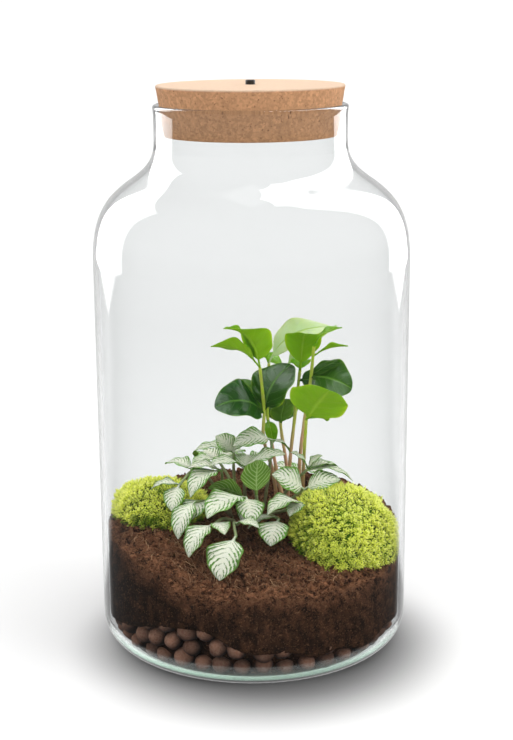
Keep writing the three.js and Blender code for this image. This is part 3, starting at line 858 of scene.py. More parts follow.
def nerve_leaf_material(settings):
    """Nerve plant leaf: a net of broad cream veins over green, closed in the middle and open to the
    green edge. Its underside is plain green with paler veins."""
    shading = new_material("nerve plant leaf")
    midrib, side, net, out = shading.group("leaf veins", 8.5, 0.36, 2.2)
    broad, fine = shading.group("mottle", 150.0, 900.0)
    green = shading.value_of("tone").mix(settings.nerve_green, times(1.5, settings.nerve_green))
    green = (broad * 0.4).mix(green, (0.05, 0.13, 0.02))
    ragged = shading.noise(shading.leaf_map(), 16.0, 2.0, 0.6)
    limit = out ** 1.2 * 0.75 + (ragged * 1.5 - 0.75)
    feathers = (side - limit).step(-0.02, 0.16)
    cream = feathers | net.step(0.09, 0.03) * 0.6 | midrib
    past_rim = out - (ragged * 0.3 + 0.68)
    cream = cream * past_rim.step(0.12, 0.0)
    ribs = side.step(0.55, 0.95) | midrib
    below = (ribs * 0.7).mix((0.13, 0.28, 0.025), (0.5, 0.66, 0.25))
    color = shading.value_of("upper").mix(below, cream.mix(green, settings.nerve_cream))
    return shading.finish(
        color, 0.6, fine * 0.2 - cream, 0.00025, Subsurface_Weight=0.25,
        Subsurface_Radius=(0.7, 1.0, 0.4), Subsurface_Scale=0.0015,
    )


def nerve_stem_material():
    """Nerve plant stem: soft grey green, hairy, a little brown low down."""
    shading = new_material("nerve plant stem")
    _, fine = shading.group("mottle", 200.0, 1400.0)
    color = shading.value_of("tone").mix((0.22, 0.17, 0.09), (0.3, 0.4, 0.16))
    color = (fine * 0.4).mix(color, (0.5, 0.55, 0.35))
    return shading.finish(color, 0.7, fine, 0.00015)


def floor_material(settings):
    """Matt white studio paper, with painted soft shade round the jar's foot, shifted as if cast by the
    light behind the jar. The jar mirrors it as if it were dark, a painted reflection that keeps its
    contents clear, and through the thick foot it shows a painted glow, for light that the foot gathers."""
    shading = new_material("studio paper")
    broad, _ = shading.group("mottle", 1.5, 30.0)
    path = shading.node("LightPath")
    flat = shading.vector("MULTIPLY", shading.place(), (1.0, 1.0, 0.0))["Vector"]
    reach = shading.vector("LENGTH", flat)["Value"]
    from_shade = shading.vector("LENGTH", shading.vector("ADD", flat, SHADE_SHIFT)["Vector"])["Value"]
    base = settings.floor_color
    in_mirror = path["Glossy Depth"] > 0.5
    # Painted shade round the foot, lighter through the glass and darker in mirrors
    shade = from_shade.step(*SHADE_REACH, 0.0, settings.foot_shade)
    shade = shade * (path["Is Transmission Ray"] * -0.6 + 1.0) | in_mirror * 0.35
    color = shade.mix(broad.mix(base, times(0.99, base)), BLACK)
    ahead = (shading.node("SeparateXYZ", {0: flat})["Y"] / reach).step(0.6, 0.4)
    past_foot = reach.step(*PAST_FOOT)
    mirrored = in_mirror * past_foot * (ahead | (path["Transmission Depth"] < 0.5))
    # Painted reflection: mirrors show the paper past the foot dark
    color = mirrored.mix(color, times(settings.mirrored, base))
    # Painted glow under the foot, seen only through the glass
    under = reach.step(*UNDER_FOOT) * path["Is Transmission Ray"]
    glow = under.mix(BLACK, times(settings.foot_light, base))
    return shading.finish(color, 0.9, Specular_IOR_Level=0.0, Emission_Color=glow, Emission_Strength=1.0)


# The studio that the jar mirrors. Azimuths are from the front and elevations from level, in degrees. Each
# softbox has its sides' azimuths, its top, and the azimuth of its foot's lowest point. Its foot rises from
# there to both sides, and the right one leans out upwards and opens where it passes over the shoulder. The
# wall comes up between two azimuths to each side. Below and above, the room comes up between two
# elevations, from the first strength to the second. A sheen has its azimuths and its elevations.

LEFT_BOX = {"sides": (-149.0, -105.0), "top": 45.0, "lowest": -126.0}
RIGHT_BOX = {
    "inner": (64.0, 76.0, 115.5, 128.0),
    "outer": (58.0, 74.0, 152.0, 190.0),
    "top": 80.0,
    "lowest": 133.0,
    "lean": 0.0041,
    "upright": -5.0,
}
BOX_FOOT = {"level": -11.4, "rise": 0.12}
WALL_STARTS = (132.0, 152.0)
ROOM_BELOW = (-34.0, -40.0, 0.0, 0.8)
ROOM_ABOVE = (-4.0, 6.0, 0.0, 0.45)
LEFT_SHEEN = ((-150.0, -60.0), (30.0, 72.0))
RIGHT_SHEEN = ((95.0, 158.0), (42.0, 78.0))


def studio_world(settings):
    """An even white room. In mirror reflections it is a dark studio with two tall white softboxes behind
    the jar, to its left and right, and a pale wall between them. Leaves mirror two softer lights."""
    world = bpy.data.worlds.new("studio")
    world.use_nodes = True
    world.node_tree.nodes.clear()
    shading = Shading(world.node_tree)
    direction = shading.node("SeparateXYZ", {0: shading.node("TexCoord")["Generated"]})
    azimuth = shading.math("DEGREES", shading.math("ARCTAN2", direction["X"], direction["Y"] * -1.0))
    elevation = shading.math("DEGREES", shading.math("ARCSINE", direction["Z"]))

    def between(value, low, high, soft):
        """1 between two levels and 0 outside them, with soft edges."""
        return (value - low).step(-soft, soft) * (high - value).step(-soft, soft)

    def upright(box):
        """1 from a softbox's foot up to its top."""
        foot = abs(azimuth - box["lowest"]) * BOX_FOOT["rise"] + BOX_FOOT["level"]
        return between(elevation, foot, box["top"], 0.5)

    def sheen(sides, ends):
        """1 between two azimuths and two elevations, with wide soft edges."""
        return between(azimuth, *sides, 8.0) * between(elevation, *ends, 6.0)

    left = between(azimuth, *LEFT_BOX["sides"], 1.5) * upright(LEFT_BOX)
    leaning = (elevation - RIGHT_BOX["upright"]) ** 2.0 * RIGHT_BOX["lean"] + azimuth
    inner, outer = elevation.step(*RIGHT_BOX["inner"]), elevation.step(*RIGHT_BOX["outer"])
    right = between(leaning, inner, outer, 1.5) * upright(RIGHT_BOX)
    path = shading.node("LightPath")
    on_face = path["Transmission Depth"] < 0.5
    boxes = (left | right) * settings.softbox * on_face
    behind = abs(azimuth).step(*WALL_STARTS, settings.dark, settings.wall)
    below = elevation.step(*ROOM_BELOW)
    above = elevation.step(*ROOM_ABOVE) - on_face
    outside = behind | boxes | below | above
    inside = (sheen(*LEFT_SHEEN) | sheen(*RIGHT_SHEEN)) * settings.sheen + settings.dark
    on_leaf = (1.0 - path["Is Singular Ray"] - on_face) * (path["Glossy Depth"] < 1.5)
    mirrored = on_leaf.blend(outside, inside)
    direct = (path["Diffuse Depth"] > 0.5) * (settings.room - settings.backdrop) + settings.backdrop
    strength = (path["Glossy Depth"] > 0.5).blend(direct, mirrored)
    background = shading.node("Background", {"Color": (1.0, 1.0, 1.0), "Strength": strength})[0]
    shading.node("OutputWorld", {"Surface": background})
    world.cycles.sampling_method = "NONE"
    return world


# Jar, stopper and stud

def bezier(a, b, c, d, shares):
    """Points and unit directions of a cubic curve with the ends a and d and the pulls b and c."""
    s = np.array(shares)[:, None]
    a, b, c, d = (np.array(p, float) for p in (a, b, c, d))
    points = a * (1 - s) ** 3 + 3 * b * s * (1 - s) ** 2 + 3 * c * s * s * (1 - s) + d * s**3
    along = (b - a) * (1 - s) ** 2 + 2 * (c - b) * s * (1 - s) + (d - c) * s * s
    return points, unit(along)


def shoulder(inset):
    """The two curves from the wall to the neck, moved inwards by a wall's thickness."""
    wall, below, above, neck = JAR["pulls"]
    bend, slope = np.array(JAR["bend"]), np.array(JAR["bend_slope"])
    start, end = np.array(JAR["shoulder"]), np.array(JAR["neck"])
    low = bezier(start, start + (0, wall), bend - below * slope, bend, np.linspace(0, 1, 26))
    high = bezier(bend, bend + above * slope, end - (0, neck), end, np.linspace(0, 1, 18)[1:])
    points = np.concatenate([low[0], high[0]])
    along = np.concatenate([low[1], high[1]])
    return points + inset * np.stack([-along[:, 1], along[:, 0]], -1)


def jar_profile():
    """From the middle of the foot out and up the outside, over the lip and down the inside to the middle
    of the floor."""
    middle = (JAR["neck"][0] + INNER_NECK) / 2
    half = (JAR["neck"][0] - INNER_NECK) / 2
    heel = (JAR["radius"] - JAR["foot"], JAR["heel"])
    inner_heel = (INNER_RADIUS - JAR["inner_foot"], JAR["inner_heel"] - JAR["floor"])
    inside = [(max(radius, INNER_NECK), height) for radius, height in shoulder(JAR["wall"])[::-1]]
    lip_level = JAR["top"] - JAR["lip"]
    return [
        (0, 0),
        (40, 0),
        *arc((JAR["foot"], heel[1]), heel, -90, 0, 14),
        (JAR["radius"], 60),
        (JAR["radius"], 140),
        *map(tuple, shoulder(0)),
        (JAR["neck"][0], lip_level - 4),
        *arc((middle, lip_level), (half + JAR["bead"], JAR["lip"]), -20, 180, 12),
        (INNER_NECK, lip_level - 3),
        *inside,
        (INNER_RADIUS, 140),
        (INNER_RADIUS, 60),
        *arc((JAR["inner_foot"], JAR["inner_heel"]), inner_heel, 0, -90, 14),
        (40, JAR["floor"]),
        (0, JAR["floor"]),
    ]


def build_jar(settings):
    """The profile carried round the z axis."""
    surface = turned(jar_profile(), settings.sides)
    make_piece("jar_glass", surface, glass_material(settings), "glass", "jar")


def build_stopper(settings):
    """A cone with rounded edges and a blind hole. Its side is pressed granules, up to 0.15 mm uneven."""
    bottom, top, edge = STOPPER["bottom"], STOPPER["top"], STOPPER["edge"]
    low, high = STOPPER["bottom_radius"], STOPPER["top_radius"]
    hole = STUD["radius"] + GAP
    shares = np.linspace(0, 1, 28)
    side = [(low + (high - low) * s, bottom + edge + (top - bottom - 2 * edge) * s) for s in shares]
    profile = [
        (0, bottom),
        *[(radius, bottom) for radius in np.linspace(8, low - edge, 14)],
        *arc((low - edge, bottom + edge), (edge, edge), -60, -15, 3),
        *side,
        *arc((high - edge, top - edge), (edge, edge), 20, 75, 4),
        *[(radius, top) for radius in np.linspace(high - edge, hole, 24)],
        (hole, top - STUD["depth"]),
        (0, top - STUD["depth"]),
    ]
    points, faces = turned(profile, settings.sides)
    radius = np.hypot(points[:, 0], points[:, 1])
    uneven = 0.09 * roughness(points, 3.2, 21) + 0.06 * roughness(points, 1.4, 22)
    on_side = (radius > hole + 1) & (points[:, 2] < top - 0.2) & (points[:, 2] > bottom + 0.2)
    shrink = np.where(on_side, (uneven - 0.12) / np.maximum(radius, 1), 0)
    points[:, :2] *= 1 + shrink[:, None]
    make_piece("cork_stopper", (points, faces), cork_material(settings), "cork", "stopper")


def build_stud():
    """A short round pin with a rounded top edge."""
    bottom = STOPPER["top"] - STUD["depth"] + GAP
    top = STOPPER["top"] + STUD["rise"]
    edge = STUD["edge"]
    profile = [
        (0, bottom),
        (STUD["radius"], bottom),
        *[(STUD["radius"], level) for level in np.linspace(bottom + 1, top - edge, 5)],
        *arc((STUD["radius"] - edge, top - edge), (edge, edge), 15, 90, 5),
        (STUD["radius"] - 1, top),
        (0, top - 0.1),
    ]
    make_piece("stopper_pin", turned(profile, 48), stud_material(), "black_plastic", "stopper_stud")


# Pebbles and soil

def clear_radius(height):
    """How far the clear space inside the jar reaches at a height, with its rounded heel."""
    rise = JAR["inner_heel"] - JAR["floor"]
    reach = INNER_RADIUS - JAR["inner_foot"]
    down = np.clip((JAR["inner_heel"] - np.asarray(height)) / rise, 0, 1)
    return JAR["inner_foot"] + reach * np.sqrt(1 - down**2) - GAP


def pebble_level(angle):
    """Height of the pebbles along the glass: heaped at the front left, low at the front right."""
    def hill(azimuth, width, height):
        """A bell curve: the height times e to the power of minus ((angle - azimuth) / width) squared."""
        return height * np.exp(-(((angle - math.radians(azimuth)) / width) ** 2))

    return PEBBLES["level"] + hill(*PEBBLES["heap"]) - hill(*PEBBLES["dip"])


def build_pebbles():
    """Rounded stones of 10 to 13 mm: rows along the glass and a layer on the floor behind them. Each is a
    ball drawn out on three axes, with its radius changed by smooth noise. Its side turned from the glass
    and from above has painted shade."""
    random = np.random.default_rng(7)
    centres, sizes = [], []
    for row, level in enumerate(PEBBLES["rows"]):
        count = PEBBLES["in_row"] - row
        angle = (np.arange(count) + 0.5 * row + random.uniform(-0.16, 0.16, count)) / count * TAU - math.pi
        size = random.uniform(*PEBBLES["row_radii"], count)
        height = level + random.uniform(-1.6, 1.6, count)
        keep = height - 6.0 < pebble_level(angle)
        radius = clear_radius(height - 0.35 * size) - size - 0.25
        centres.append(round_axis(radius, angle, height)[keep])
        sizes.append(size[keep])
    step = PEBBLES["spacing"]
    column, line = np.meshgrid(np.arange(-6, 7), np.arange(-7, 8))
    grid = np.stack([(column + 0.5 * (line % 2)) * step, line * step * 0.87], -1).reshape(-1, 2)
    grid = grid[np.hypot(*grid.T) < PEBBLES["layer_reach"]]
    layer = grid + random.uniform(-1.2, 1.2, grid.shape)
    centres.append(np.column_stack([layer, np.full(len(grid), PEBBLES["layer"])]))
    sizes.append(random.uniform(*PEBBLES["layer_radii"], len(grid)))
    centres, sizes = np.concatenate(centres), np.concatenate(sizes)
    round_stone, faces = ball(9, 16)
    lumps = np.stack([
        1 + 0.05 * roughness(round_stone, 1.6, kind) + 0.025 * roughness(round_stone, 0.6, kind + 50)
        for kind in range(PEBBLES["kinds"])
    ])
    kind = random.integers(0, PEBBLES["kinds"], len(centres))
    stretch = np.stack([random.uniform(0.92, 1.0, len(centres)) for _ in range(3)], -1)
    shaped = round_stone * lumps[kind][..., None] * stretch[:, None] * 0.97
    shaped = np.einsum("nij,nkj->nki", random_turns(random, len(centres)), shaped)
    points = shaped * sizes[:, None, None] + centres[:, None]
    # Painted light and shade: the tone falls from the side facing the glass and up to 0 on the other side
    outwards = unit(centres * [1, 1, 0])
    facing_painted_light = np.einsum("nij,nj->ni", shaped, 0.85 * outwards + [0, 0, 0.6])
    tone = random.uniform(0.35, 1, (len(centres), 1)) * smooth_step(facing_painted_light, 0.0, 1.0)
    surface = points.reshape(-1, 3), copies_of(faces, len(round_stone), len(centres))
    make_piece("clay_pebbles", surface, clay_material(), "clay", "pebbles", tone=tone.ravel())


def soil_height(x, y):
    """The packed soil's surface: a step to the front with broad and fine humps."""
    right = SOIL["right_shift"] * smooth_step(x, 10, 70)
    left = SOIL["left_shift"] * smooth_step(-x, 20, 60)
    step = np.tanh((y - SOIL["front_line"] - right - left) / SOIL["spread"])
    broad = SOIL["humps"][0] * np.sin(x / 11 + 1) * np.cos(y / 13)
    fine = SOIL["humps"][1] * np.sin(x / 5.3) * np.sin(y / 6.1 + 0.5)
    return SOIL["middle"] + SOIL["rise"] * step + broad + fine


def crumbly_height(x, y):
    """The surface with clods of about 11, 5 and 2 mm on it."""
    flat = np.stack([x, y], -1)
    clods = 1.3 * np.abs(roughness(flat, 11.0, 31)) + 0.9 * np.abs(roughness(flat, 5.0, 32))
    return soil_height(x, y) - 1.2 + clods + 0.5 * roughness(flat, 2.4, 33)


def build_soil(settings):
    """One closed body: rings from the middle of the top out to the glass, down the glass and back under.
    Below the level of the pebbles it keeps back from the glass, and they stand out of it."""
    around = 420
    angle = np.arange(around) / around * TAU - math.pi
    reach = SOIL["radius"]
    edge_radii = reach - np.array([3.0, 2.0, 1.2, 0.6, 0.2])
    top_radii = np.concatenate([np.linspace(1.5, reach - 4, 92), edge_radii])[:, None]
    x, y = top_radii * np.cos(angle), top_radii * np.sin(angle)
    top = np.stack([x, y, crumbly_height(x, y)], -1)
    rim = top[-1, :, 2]
    depth = np.concatenate([[0.012, 0.03], np.linspace(0.06, 1, 44)])[:, None]
    level = pebble_level(angle) + 1.5 * roughness(np.stack([np.cos(angle), np.sin(angle)], -1), 0.4, 34)
    height = rim - depth * (rim - SOIL["bottom"])
    on_wall = round_axis(reach, angle, height)
    dents = 0.35 * np.abs(roughness(on_wall, 3.0, 35)) + 0.25 * np.abs(roughness(on_wall, 1.2, 36))
    back = smooth_step(level - height, -3.0, 1.0) * smooth_step(height, 5.0, 7.5) * SOIL["kept_back"]
    radius = np.minimum(reach - dents - back, clear_radius(height) - 0.3 - back)
    rings = np.concatenate([top, round_axis(radius, angle, height)])
    ends = np.array([[0, 0, crumbly_height(np.zeros(1), np.zeros(1))[0]], [0, 0, SOIL["bottom"]]])
    points = np.concatenate([rings.reshape(-1, 3), ends])
    faces = [group[:, ::-1] for group in closed_faces(len(rings), around)]
    # The tone is random in the open; on the glass it is painted shade
    shade = 0.72 + 0.2 * roughness(points, 14.0, 37)
    under = np.concatenate([np.zeros(len(top) * around), (rim - height).ravel(), [0, 50]])
    # Painted light on the glass: lighter toward the front right and near the top edge
    side = np.cos(np.arctan2(points[:, 1], points[:, 0]) - math.radians(-35))
    on_glass = 0.02 + 0.09 * side + 0.5 * np.exp(-under / 6) + 0.06 * roughness(points, 7.0, 38)
    edge = smooth_step(np.hypot(points[:, 0], points[:, 1]), reach - 2.0, reach - 0.4)
    shade = np.where(under > 0.2, on_glass, shade + (on_glass - shade) * edge)
    tone = shade.clip(0, 1)
    make_piece("planting_soil", (points, faces), soil_material(settings), "soil", "soil", tone=tone)


def on_ground(random, count, margin=2.5):
    """Seeded places spread evenly over the soil inside the glass, left out under the moss."""
    radius = (SOIL["radius"] - margin) * np.sqrt(random.uniform(0, 1, count))
    angle = random.uniform(0, TAU, count)
    x, y = radius * np.cos(angle), radius * np.sin(angle)
    free = np.ones(count, bool)
    for cushion in MOSS.values():
        (cx, cy), (rx, ry) = cushion["centre"], cushion["radii"]
        free &= ((x - cx) / (rx - 2)) ** 2 + ((y - cy) / (ry - 2)) ** 2 > 1
    return x[free], y[free]


def build_crumbs(settings):
    """Loose crumbs on the soil: small balls of few faces, each drawn out and turned at random."""
    random = np.random.default_rng(41)
    x, y = on_ground(random, settings.crumbs)
    count = len(x)
    size = 0.35 + 1.6 * random.uniform(0, 1, count) ** 3.5
    crumb, faces = ball(3, 6)
    shaped = crumb * random.uniform(0.65, 1.15, (count, len(crumb), 1))
    shaped = shaped * random.uniform(0.6, 1.2, (count, 1, 3))
    shaped = np.einsum("nij,nkj->nki", random_turns(random, count), shaped)
    centres = np.stack([x, y, crumbly_height(x, y) + 0.3 * size], -1)
    points = shaped * size[:, None, None] + centres[:, None]
    tone = np.repeat(random.uniform(0.2, 1, count) ** 0.7, len(crumb))
    surface = points.reshape(-1, 3), copies_of(faces, len(crumb), count)
    make_piece("soil_crumbs", surface, soil_material(settings), "soil", tone=tone)


def build_fibres(settings):
    """Root fibres lying on the soil: each is a curve with two seeded bends that follows the ground."""
    random = np.random.default_rng(43)
    x, y = on_ground(random, settings.fibres, 9.0)
    count, steps = len(x), 7
    heading = random.uniform(0, TAU, count)
    length = 3 + 11 * random.uniform(0, 1, count) ** 2
    share = np.linspace(-0.5, 0.5, steps)
    bend = random.uniform(-1.6, 1.6, (count, 1)) * share**2
    bend = bend + random.uniform(-2, 2, (count, 1)) * share**3
    along, aside = length[:, None] * share, length[:, None] * bend
    px = x[:, None] + along * np.cos(heading)[:, None] - aside * np.sin(heading)[:, None]
    py = y[:, None] + along * np.sin(heading)[:, None] + aside * np.cos(heading)[:, None]
    far = np.hypot(px, py) / (SOIL["radius"] - 1.5)
    px, py = px / np.maximum(far, 1), py / np.maximum(far, 1)
    hop = random.uniform(0.1, 1.5, (count, 1)) * (1 - (2 * share) ** 2)
    hop = hop + random.uniform(-0.2, 0.5, (count, 1))
    paths = np.stack([px, py, crumbly_height(px, py) + 0.2 + hop], -1)
    thick = random.uniform(0.07, 0.22, (count, 1)) * (1 - 0.7 * (2 * np.abs(share)) ** 3)
    points, faces = tubes(paths, thick, 3)
    tone = np.repeat(random.uniform(0, 1, count) ** 1.5, len(points) // count)
    make_piece("soil_fibres", (points, faces), fibre_material(), "soil", tone=tone)


# Moss

def cushion_point(cushion, tilt, angle, proud=0.0):
    """A point on the cushion: tilt 0 is its top and 90 degrees its foot. The radius has three wide and
    five narrow lobes, and the height over the ground falls with the cosine of the tilt."""
    (cx, cy), (rx, ry) = cushion["centre"], cushion["radii"]
    wide, narrow = MOSS_SHAPE["lobes"]
    turn = cushion["turn"]
    out = np.sin(tilt) ** MOSS_SHAPE["roundness"]
    lobes = 1 + wide * np.sin(3 * angle + turn) + narrow * np.sin(5 * angle + 2 * turn)
    core = MOSS_SHAPE["core"]
    x = cx + out * ((rx - core) * lobes + proud) * np.cos(angle)
    y = cy + out * ((ry - core) * lobes + proud) * np.sin(angle)
    base = soil_height(np.array(cx), np.array(cy))
    ground = soil_height(x, y)
    z = base + (ground - base) * out + (cushion["rise"] - core + proud) * np.cos(tilt)
    inside = np.hypot(x, y) / (INNER_RADIUS - GAP - 0.4)
    return np.stack([x / np.maximum(inside, 1), y / np.maximum(inside, 1), z], -1)


def build_moss_mat(name, material):
    """The dense body under the shoots: the cushion itself with small seeded lumps, closed at its foot."""
    cushion = MOSS[name]
    rings, around = 26, 72
    tilt = (np.arange(rings) + 1)[:, None] / rings * (math.pi / 2)
    angle = circle(around) + 0 * tilt
    lumps = 0.5 * roughness(cushion_point(cushion, tilt, angle, -0.6), 5.0, 51)
    dome = cushion_point(cushion, tilt, angle, lumps - 0.6)
    foot = dome[-1] - [0, 0, 3.0]
    ends = np.array([dome[0].mean(0) + [0, 0, 0.2], foot.mean(0)])
    points = np.concatenate([dome.reshape(-1, 3), foot, ends])
    faces = [group[:, ::-1] for group in closed_faces(rings + 1, around)]
    # Painted shade: the mat takes the darkest colour of the cushion's depth
    make_piece(name + "_mat", (points, faces), material, "moss", name, tone=0.12, tip=0.0)


def moss_star():
    """One shoot: leaflets in turns round a short axis, each a thin three-sided spike that leans out,
    more so low down. Returns its points, faces and the share along each leaflet."""
    count = 11
    order = np.arange(count)
    turn = order * math.radians(137.5)
    lean = np.radians(np.linspace(70, 8, count))
    length = np.linspace(2.0, 1.6, count)
    base = np.linspace(0.1, 1.7, count)
    out = round_axis(1.0, turn, 0.0)
    side = np.cross([0, 0, 1.0], out)
    up = np.array([0, 0, 1.0])
    ahead = np.sin(lean)[:, None] * out + np.cos(lean)[:, None] * up
    root = base[:, None] * up + 0.05 * out
    half = 0.27
    mid = root + 0.35 * length[:, None] * ahead
    tip = root + length[:, None] * ahead + 0.12 * up
    keel = root + 0.2 * length[:, None] * ahead - 0.12 * up
    points = np.stack([root, mid + half * side, tip, mid - half * side, keel], 1)
    one = np.array([[0, 1, 2], [0, 2, 3], [0, 4, 1], [1, 4, 2], [2, 4, 3], [3, 4, 0]])
    faces = copies_of([one[:, ::-1]], 5, count)
    along = np.tile([0.0, 0.4, 1.0, 0.4, 0.2], count)
    return points.reshape(-1, 3), faces, along


def build_moss_shoots(name, settings, material):
    """Shoots all over a cushion, spaced by the golden angle with seeded jitter, each standing along the
    surface and a little upright. High shoots and those on the side with painted light are yellow, low ones
    green: partly the moss's colour, partly painted light and shade."""
    cushion = MOSS[name]
    random = np.random.default_rng(sum(map(ord, name)))
    count = int(cushion["shoots"] * settings.density)
    order = np.arange(count) + 0.5
    tilt = np.arccos(1 - order / count * 0.985) + random.normal(0, 0.012, count)
    tilt = np.clip(tilt, 0.01, math.pi / 2)
    angle = order * math.pi * (3 - math.sqrt(5)) + random.normal(0, 0.02, count)
    place = cushion_point(cushion, tilt, angle, random.uniform(-1.3, 0.5, count))
    here = cushion_point(cushion, tilt, angle)
    step = 0.01
    down = cushion_point(cushion, tilt + step, angle) - here
    aside = cushion_point(cushion, tilt, angle + step) - here
    normal = unit(np.cross(down, aside))
    normal = unit(normal + [0, 0, 0.35] + random.normal(0, 0.2, (count, 3)))
    first = unit(np.cross(normal, random.normal(size=(count, 3))))
    axes = np.stack([first, np.cross(normal, first), normal], -1)
    star, faces, along = moss_star()
    size = random.uniform(0.85, 1.4, count) * (0.95 + 0.25 * np.sin(tilt))
    points = np.einsum("nij,kj->nki", axes, star) * size[:, None, None] + place[:, None]
    outside = np.hypot(points[..., 0], points[..., 1]) / (INNER_RADIUS - 0.15)
    points[..., :2] /= np.maximum(outside, 1)[..., None]
    # Painted light from above and from the cushion's side with painted light, with a random share
    tone = 0.3 + 0.45 * np.cos(tilt) ** 0.8 + 0.25 * np.cos(angle - cushion["sunny"])
    tone = tone + random.normal(0, 0.13, count) + 0.1 * roughness(place, 9.0, 52)
    tone = np.repeat(tone.clip(0, 1), len(star))
    surface = points.reshape(-1, 3), copies_of(faces, len(star), count)
    make_piece(name + "_shoots", surface, material, "moss", tone=tone, tip=np.tile(along, count))


# Stems and leaves

def stem_points(path):
    """The path's points, with the first one set 1 mm over the soil under it."""
    (x, y), *rest = path
    ground = soil_height(np.array(float(x)), np.array(float(y))) + 1
    return np.array([(x, y, float(ground)), *rest], float)


def along_stem(path, places):
    """Points at shares of a centripetal Catmull-Rom curve through the path, with one span from each of
    its points to the next."""
    p = stem_points(path)
    p = np.concatenate([[2 * p[0] - p[1]], p, [2 * p[-1] - p[-2]]])
    spans = len(p) - 3
    place = np.atleast_1d(places) * spans
    i = np.minimum(place.astype(int), spans - 1)
    t = (place - i)[:, None]
    gaps = np.linalg.norm(np.diff(p, axis=0), axis=1)[:, None] ** 0.5
    x0, x1, x2, x3 = p[i], p[i + 1], p[i + 2], p[i + 3]
    d0, d1, d2 = gaps[i], gaps[i + 1], gaps[i + 2]
    m1 = ((x1 - x0) / d0 - (x2 - x0) / (d0 + d1) + (x2 - x1) / d1) * d1
    m2 = ((x2 - x1) / d1 - (x3 - x1) / (d1 + d2) + (x3 - x2) / d2) * d1
    return x1 + m1 * t + (3 * (x2 - x1) - 2 * m1 - m2) * t**2 + (2 * (x1 - x2) + m1 + m2) * t**3


def add_stem(gathered, path, radius, finish=1):
    """A tube from 6 mm under the ground to the tip, a little thicker at its joints."""
    places = np.linspace(0, 1, 16 * (len(path) - 1))
    points = along_stem(path, places)
    foot = points[0] - np.array([[0, 0, 7.0], [0, 0, 3.0]])
    points = np.concatenate([foot, points])
    share = np.concatenate([[0, 0], places])
    thick = radius * (1.08 - 0.25 * share + 0.05 * np.sin(share * 40))
    around = 10
    tone = np.append(np.repeat(share, around), [0.0, 1.0])
    gathered.add(*tubes(points[None], thick[None], around), finish=finish, tone=tone)


def leaf_axes(azimuth, lift, roll):
    """Unit directions along the leaf, across it and out of its upper face."""
    a, e, r = np.radians([azimuth, lift, roll])
    along = np.array([math.cos(a) * math.cos(e), math.sin(a) * math.cos(e), math.sin(e)])
    level = np.array([-math.sin(a), math.cos(a), 0.0])
    across = level * math.cos(r) + np.cross(along, level) * math.sin(r)
    return along, across, np.cross(along, across)


def add_leaf(gathered, base, leaf, shape, thickness, rows, around, seed, **values):
    """A closed thin blade. Rings run round it from stalk to tip: at an angle t of a ring the place
    across is cos t and the depth is sin t times half the thickness. The midrib arches by
    4 arch u (1 - u), the halves rise from it by the fold, the edges wave and the cells between the
    side veins swell."""
    azimuth, lift, length, width, arch, roll = leaf[1:7]
    along, across, out = leaf_axes(azimuth, lift, roll)
    u = (1 - np.cos(np.linspace(0, math.pi, rows + 1)[1:-1] * 0.985 + 0.02)) / 2
    u = np.concatenate([[0.0, STALK_SHARE * 0.5], STALK_SHARE + (1 - STALK_SHARE) * u])[:, None]
    t = circle(around)[None]
    v = np.cos(t)
    blade = np.clip((u - STALK_SHARE) / (1 - STALK_SHARE), 0, 1)
    half = np.maximum(width / 2 * shape["width"](blade), STALK)
    ripple = shape["wave"] * v * v * np.sin(TAU * shape["waves"] * u + np.where(v > 0, 0, 1.3))
    run = shape["veins"] * (u - 0.25 * np.abs(v) ** 1.3)
    swell = shape["pucker"] * np.sin(math.pi * run) ** 2 * np.abs(v) ** 0.6 * (1 - v**4)
    flat = np.stack([u * length / width + 0 * v, v + 0 * u], -1)
    uneven = 0.03 * roughness(flat, 0.9, seed)
    lifted = shape["fold"] * np.sqrt(v * v + 0.01) + ripple + swell + uneven * np.abs(v)
    rise = 4 * arch * length * u * (1 - u) + half * lifted * smooth_step(blade, 0.0, 0.15)
    stalk = 1 - smooth_step(u, STALK_SHARE * 0.6, STALK_SHARE + 0.12)
    thick = thickness / 2 * (1 - 0.35 * v * v) + stalk * (0.6 - thickness / 2)
    rings = base + (length * u)[..., None] * along + (half * v)[..., None] * across
    rings = rings + (rise + thick * np.sin(t))[..., None] * out
    tip = base + length * along
    count = len(u)
    points = np.concatenate([rings.reshape(-1, 3), rings[0].mean(0)[None], tip[None]])
    uv = np.stack([u + 0 * v, (v + 1) / 2 + 0 * u], -1).reshape(-1, 2)
    uv = np.concatenate([uv, [[0, 0.5], [1, 0.5]]])
    upper = np.broadcast_to(np.sin(t) > -0.01, (count, around)).reshape(-1).astype(float)
    upper = np.append(upper, [1.0, 1.0])
    gathered.add(points, closed_faces(count, around), uv=uv, upper=upper, **values)


def build_coffee(settings, materials):
    """Each seedling is its stem, with the second material, and its leaves, with the first."""
    for index, plant in enumerate(COFFEE):
        gathered = Gathered("tone", "upper", "youth")
        add_stem(gathered, plant["path"], settings.coffee_stem)
        for kind, shape in (("seed_leaves", COFFEE_SEED_LEAF), ("leaves", COFFEE_LEAF)):
            for number, leaf in enumerate(plant[kind]):
                base = along_stem(plant["path"], leaf[0])[0]
                seed = 100 + 10 * index + number
                add_leaf(gathered, base, leaf, shape, 0.55, 44, 36, seed, youth=leaf[7], tone=1.0)
        node = f"coffee_plant_{index + 1}"
        gathered.to_piece(f"coffee_seedling_{index + 1}", materials, "coffee_leaf", node)


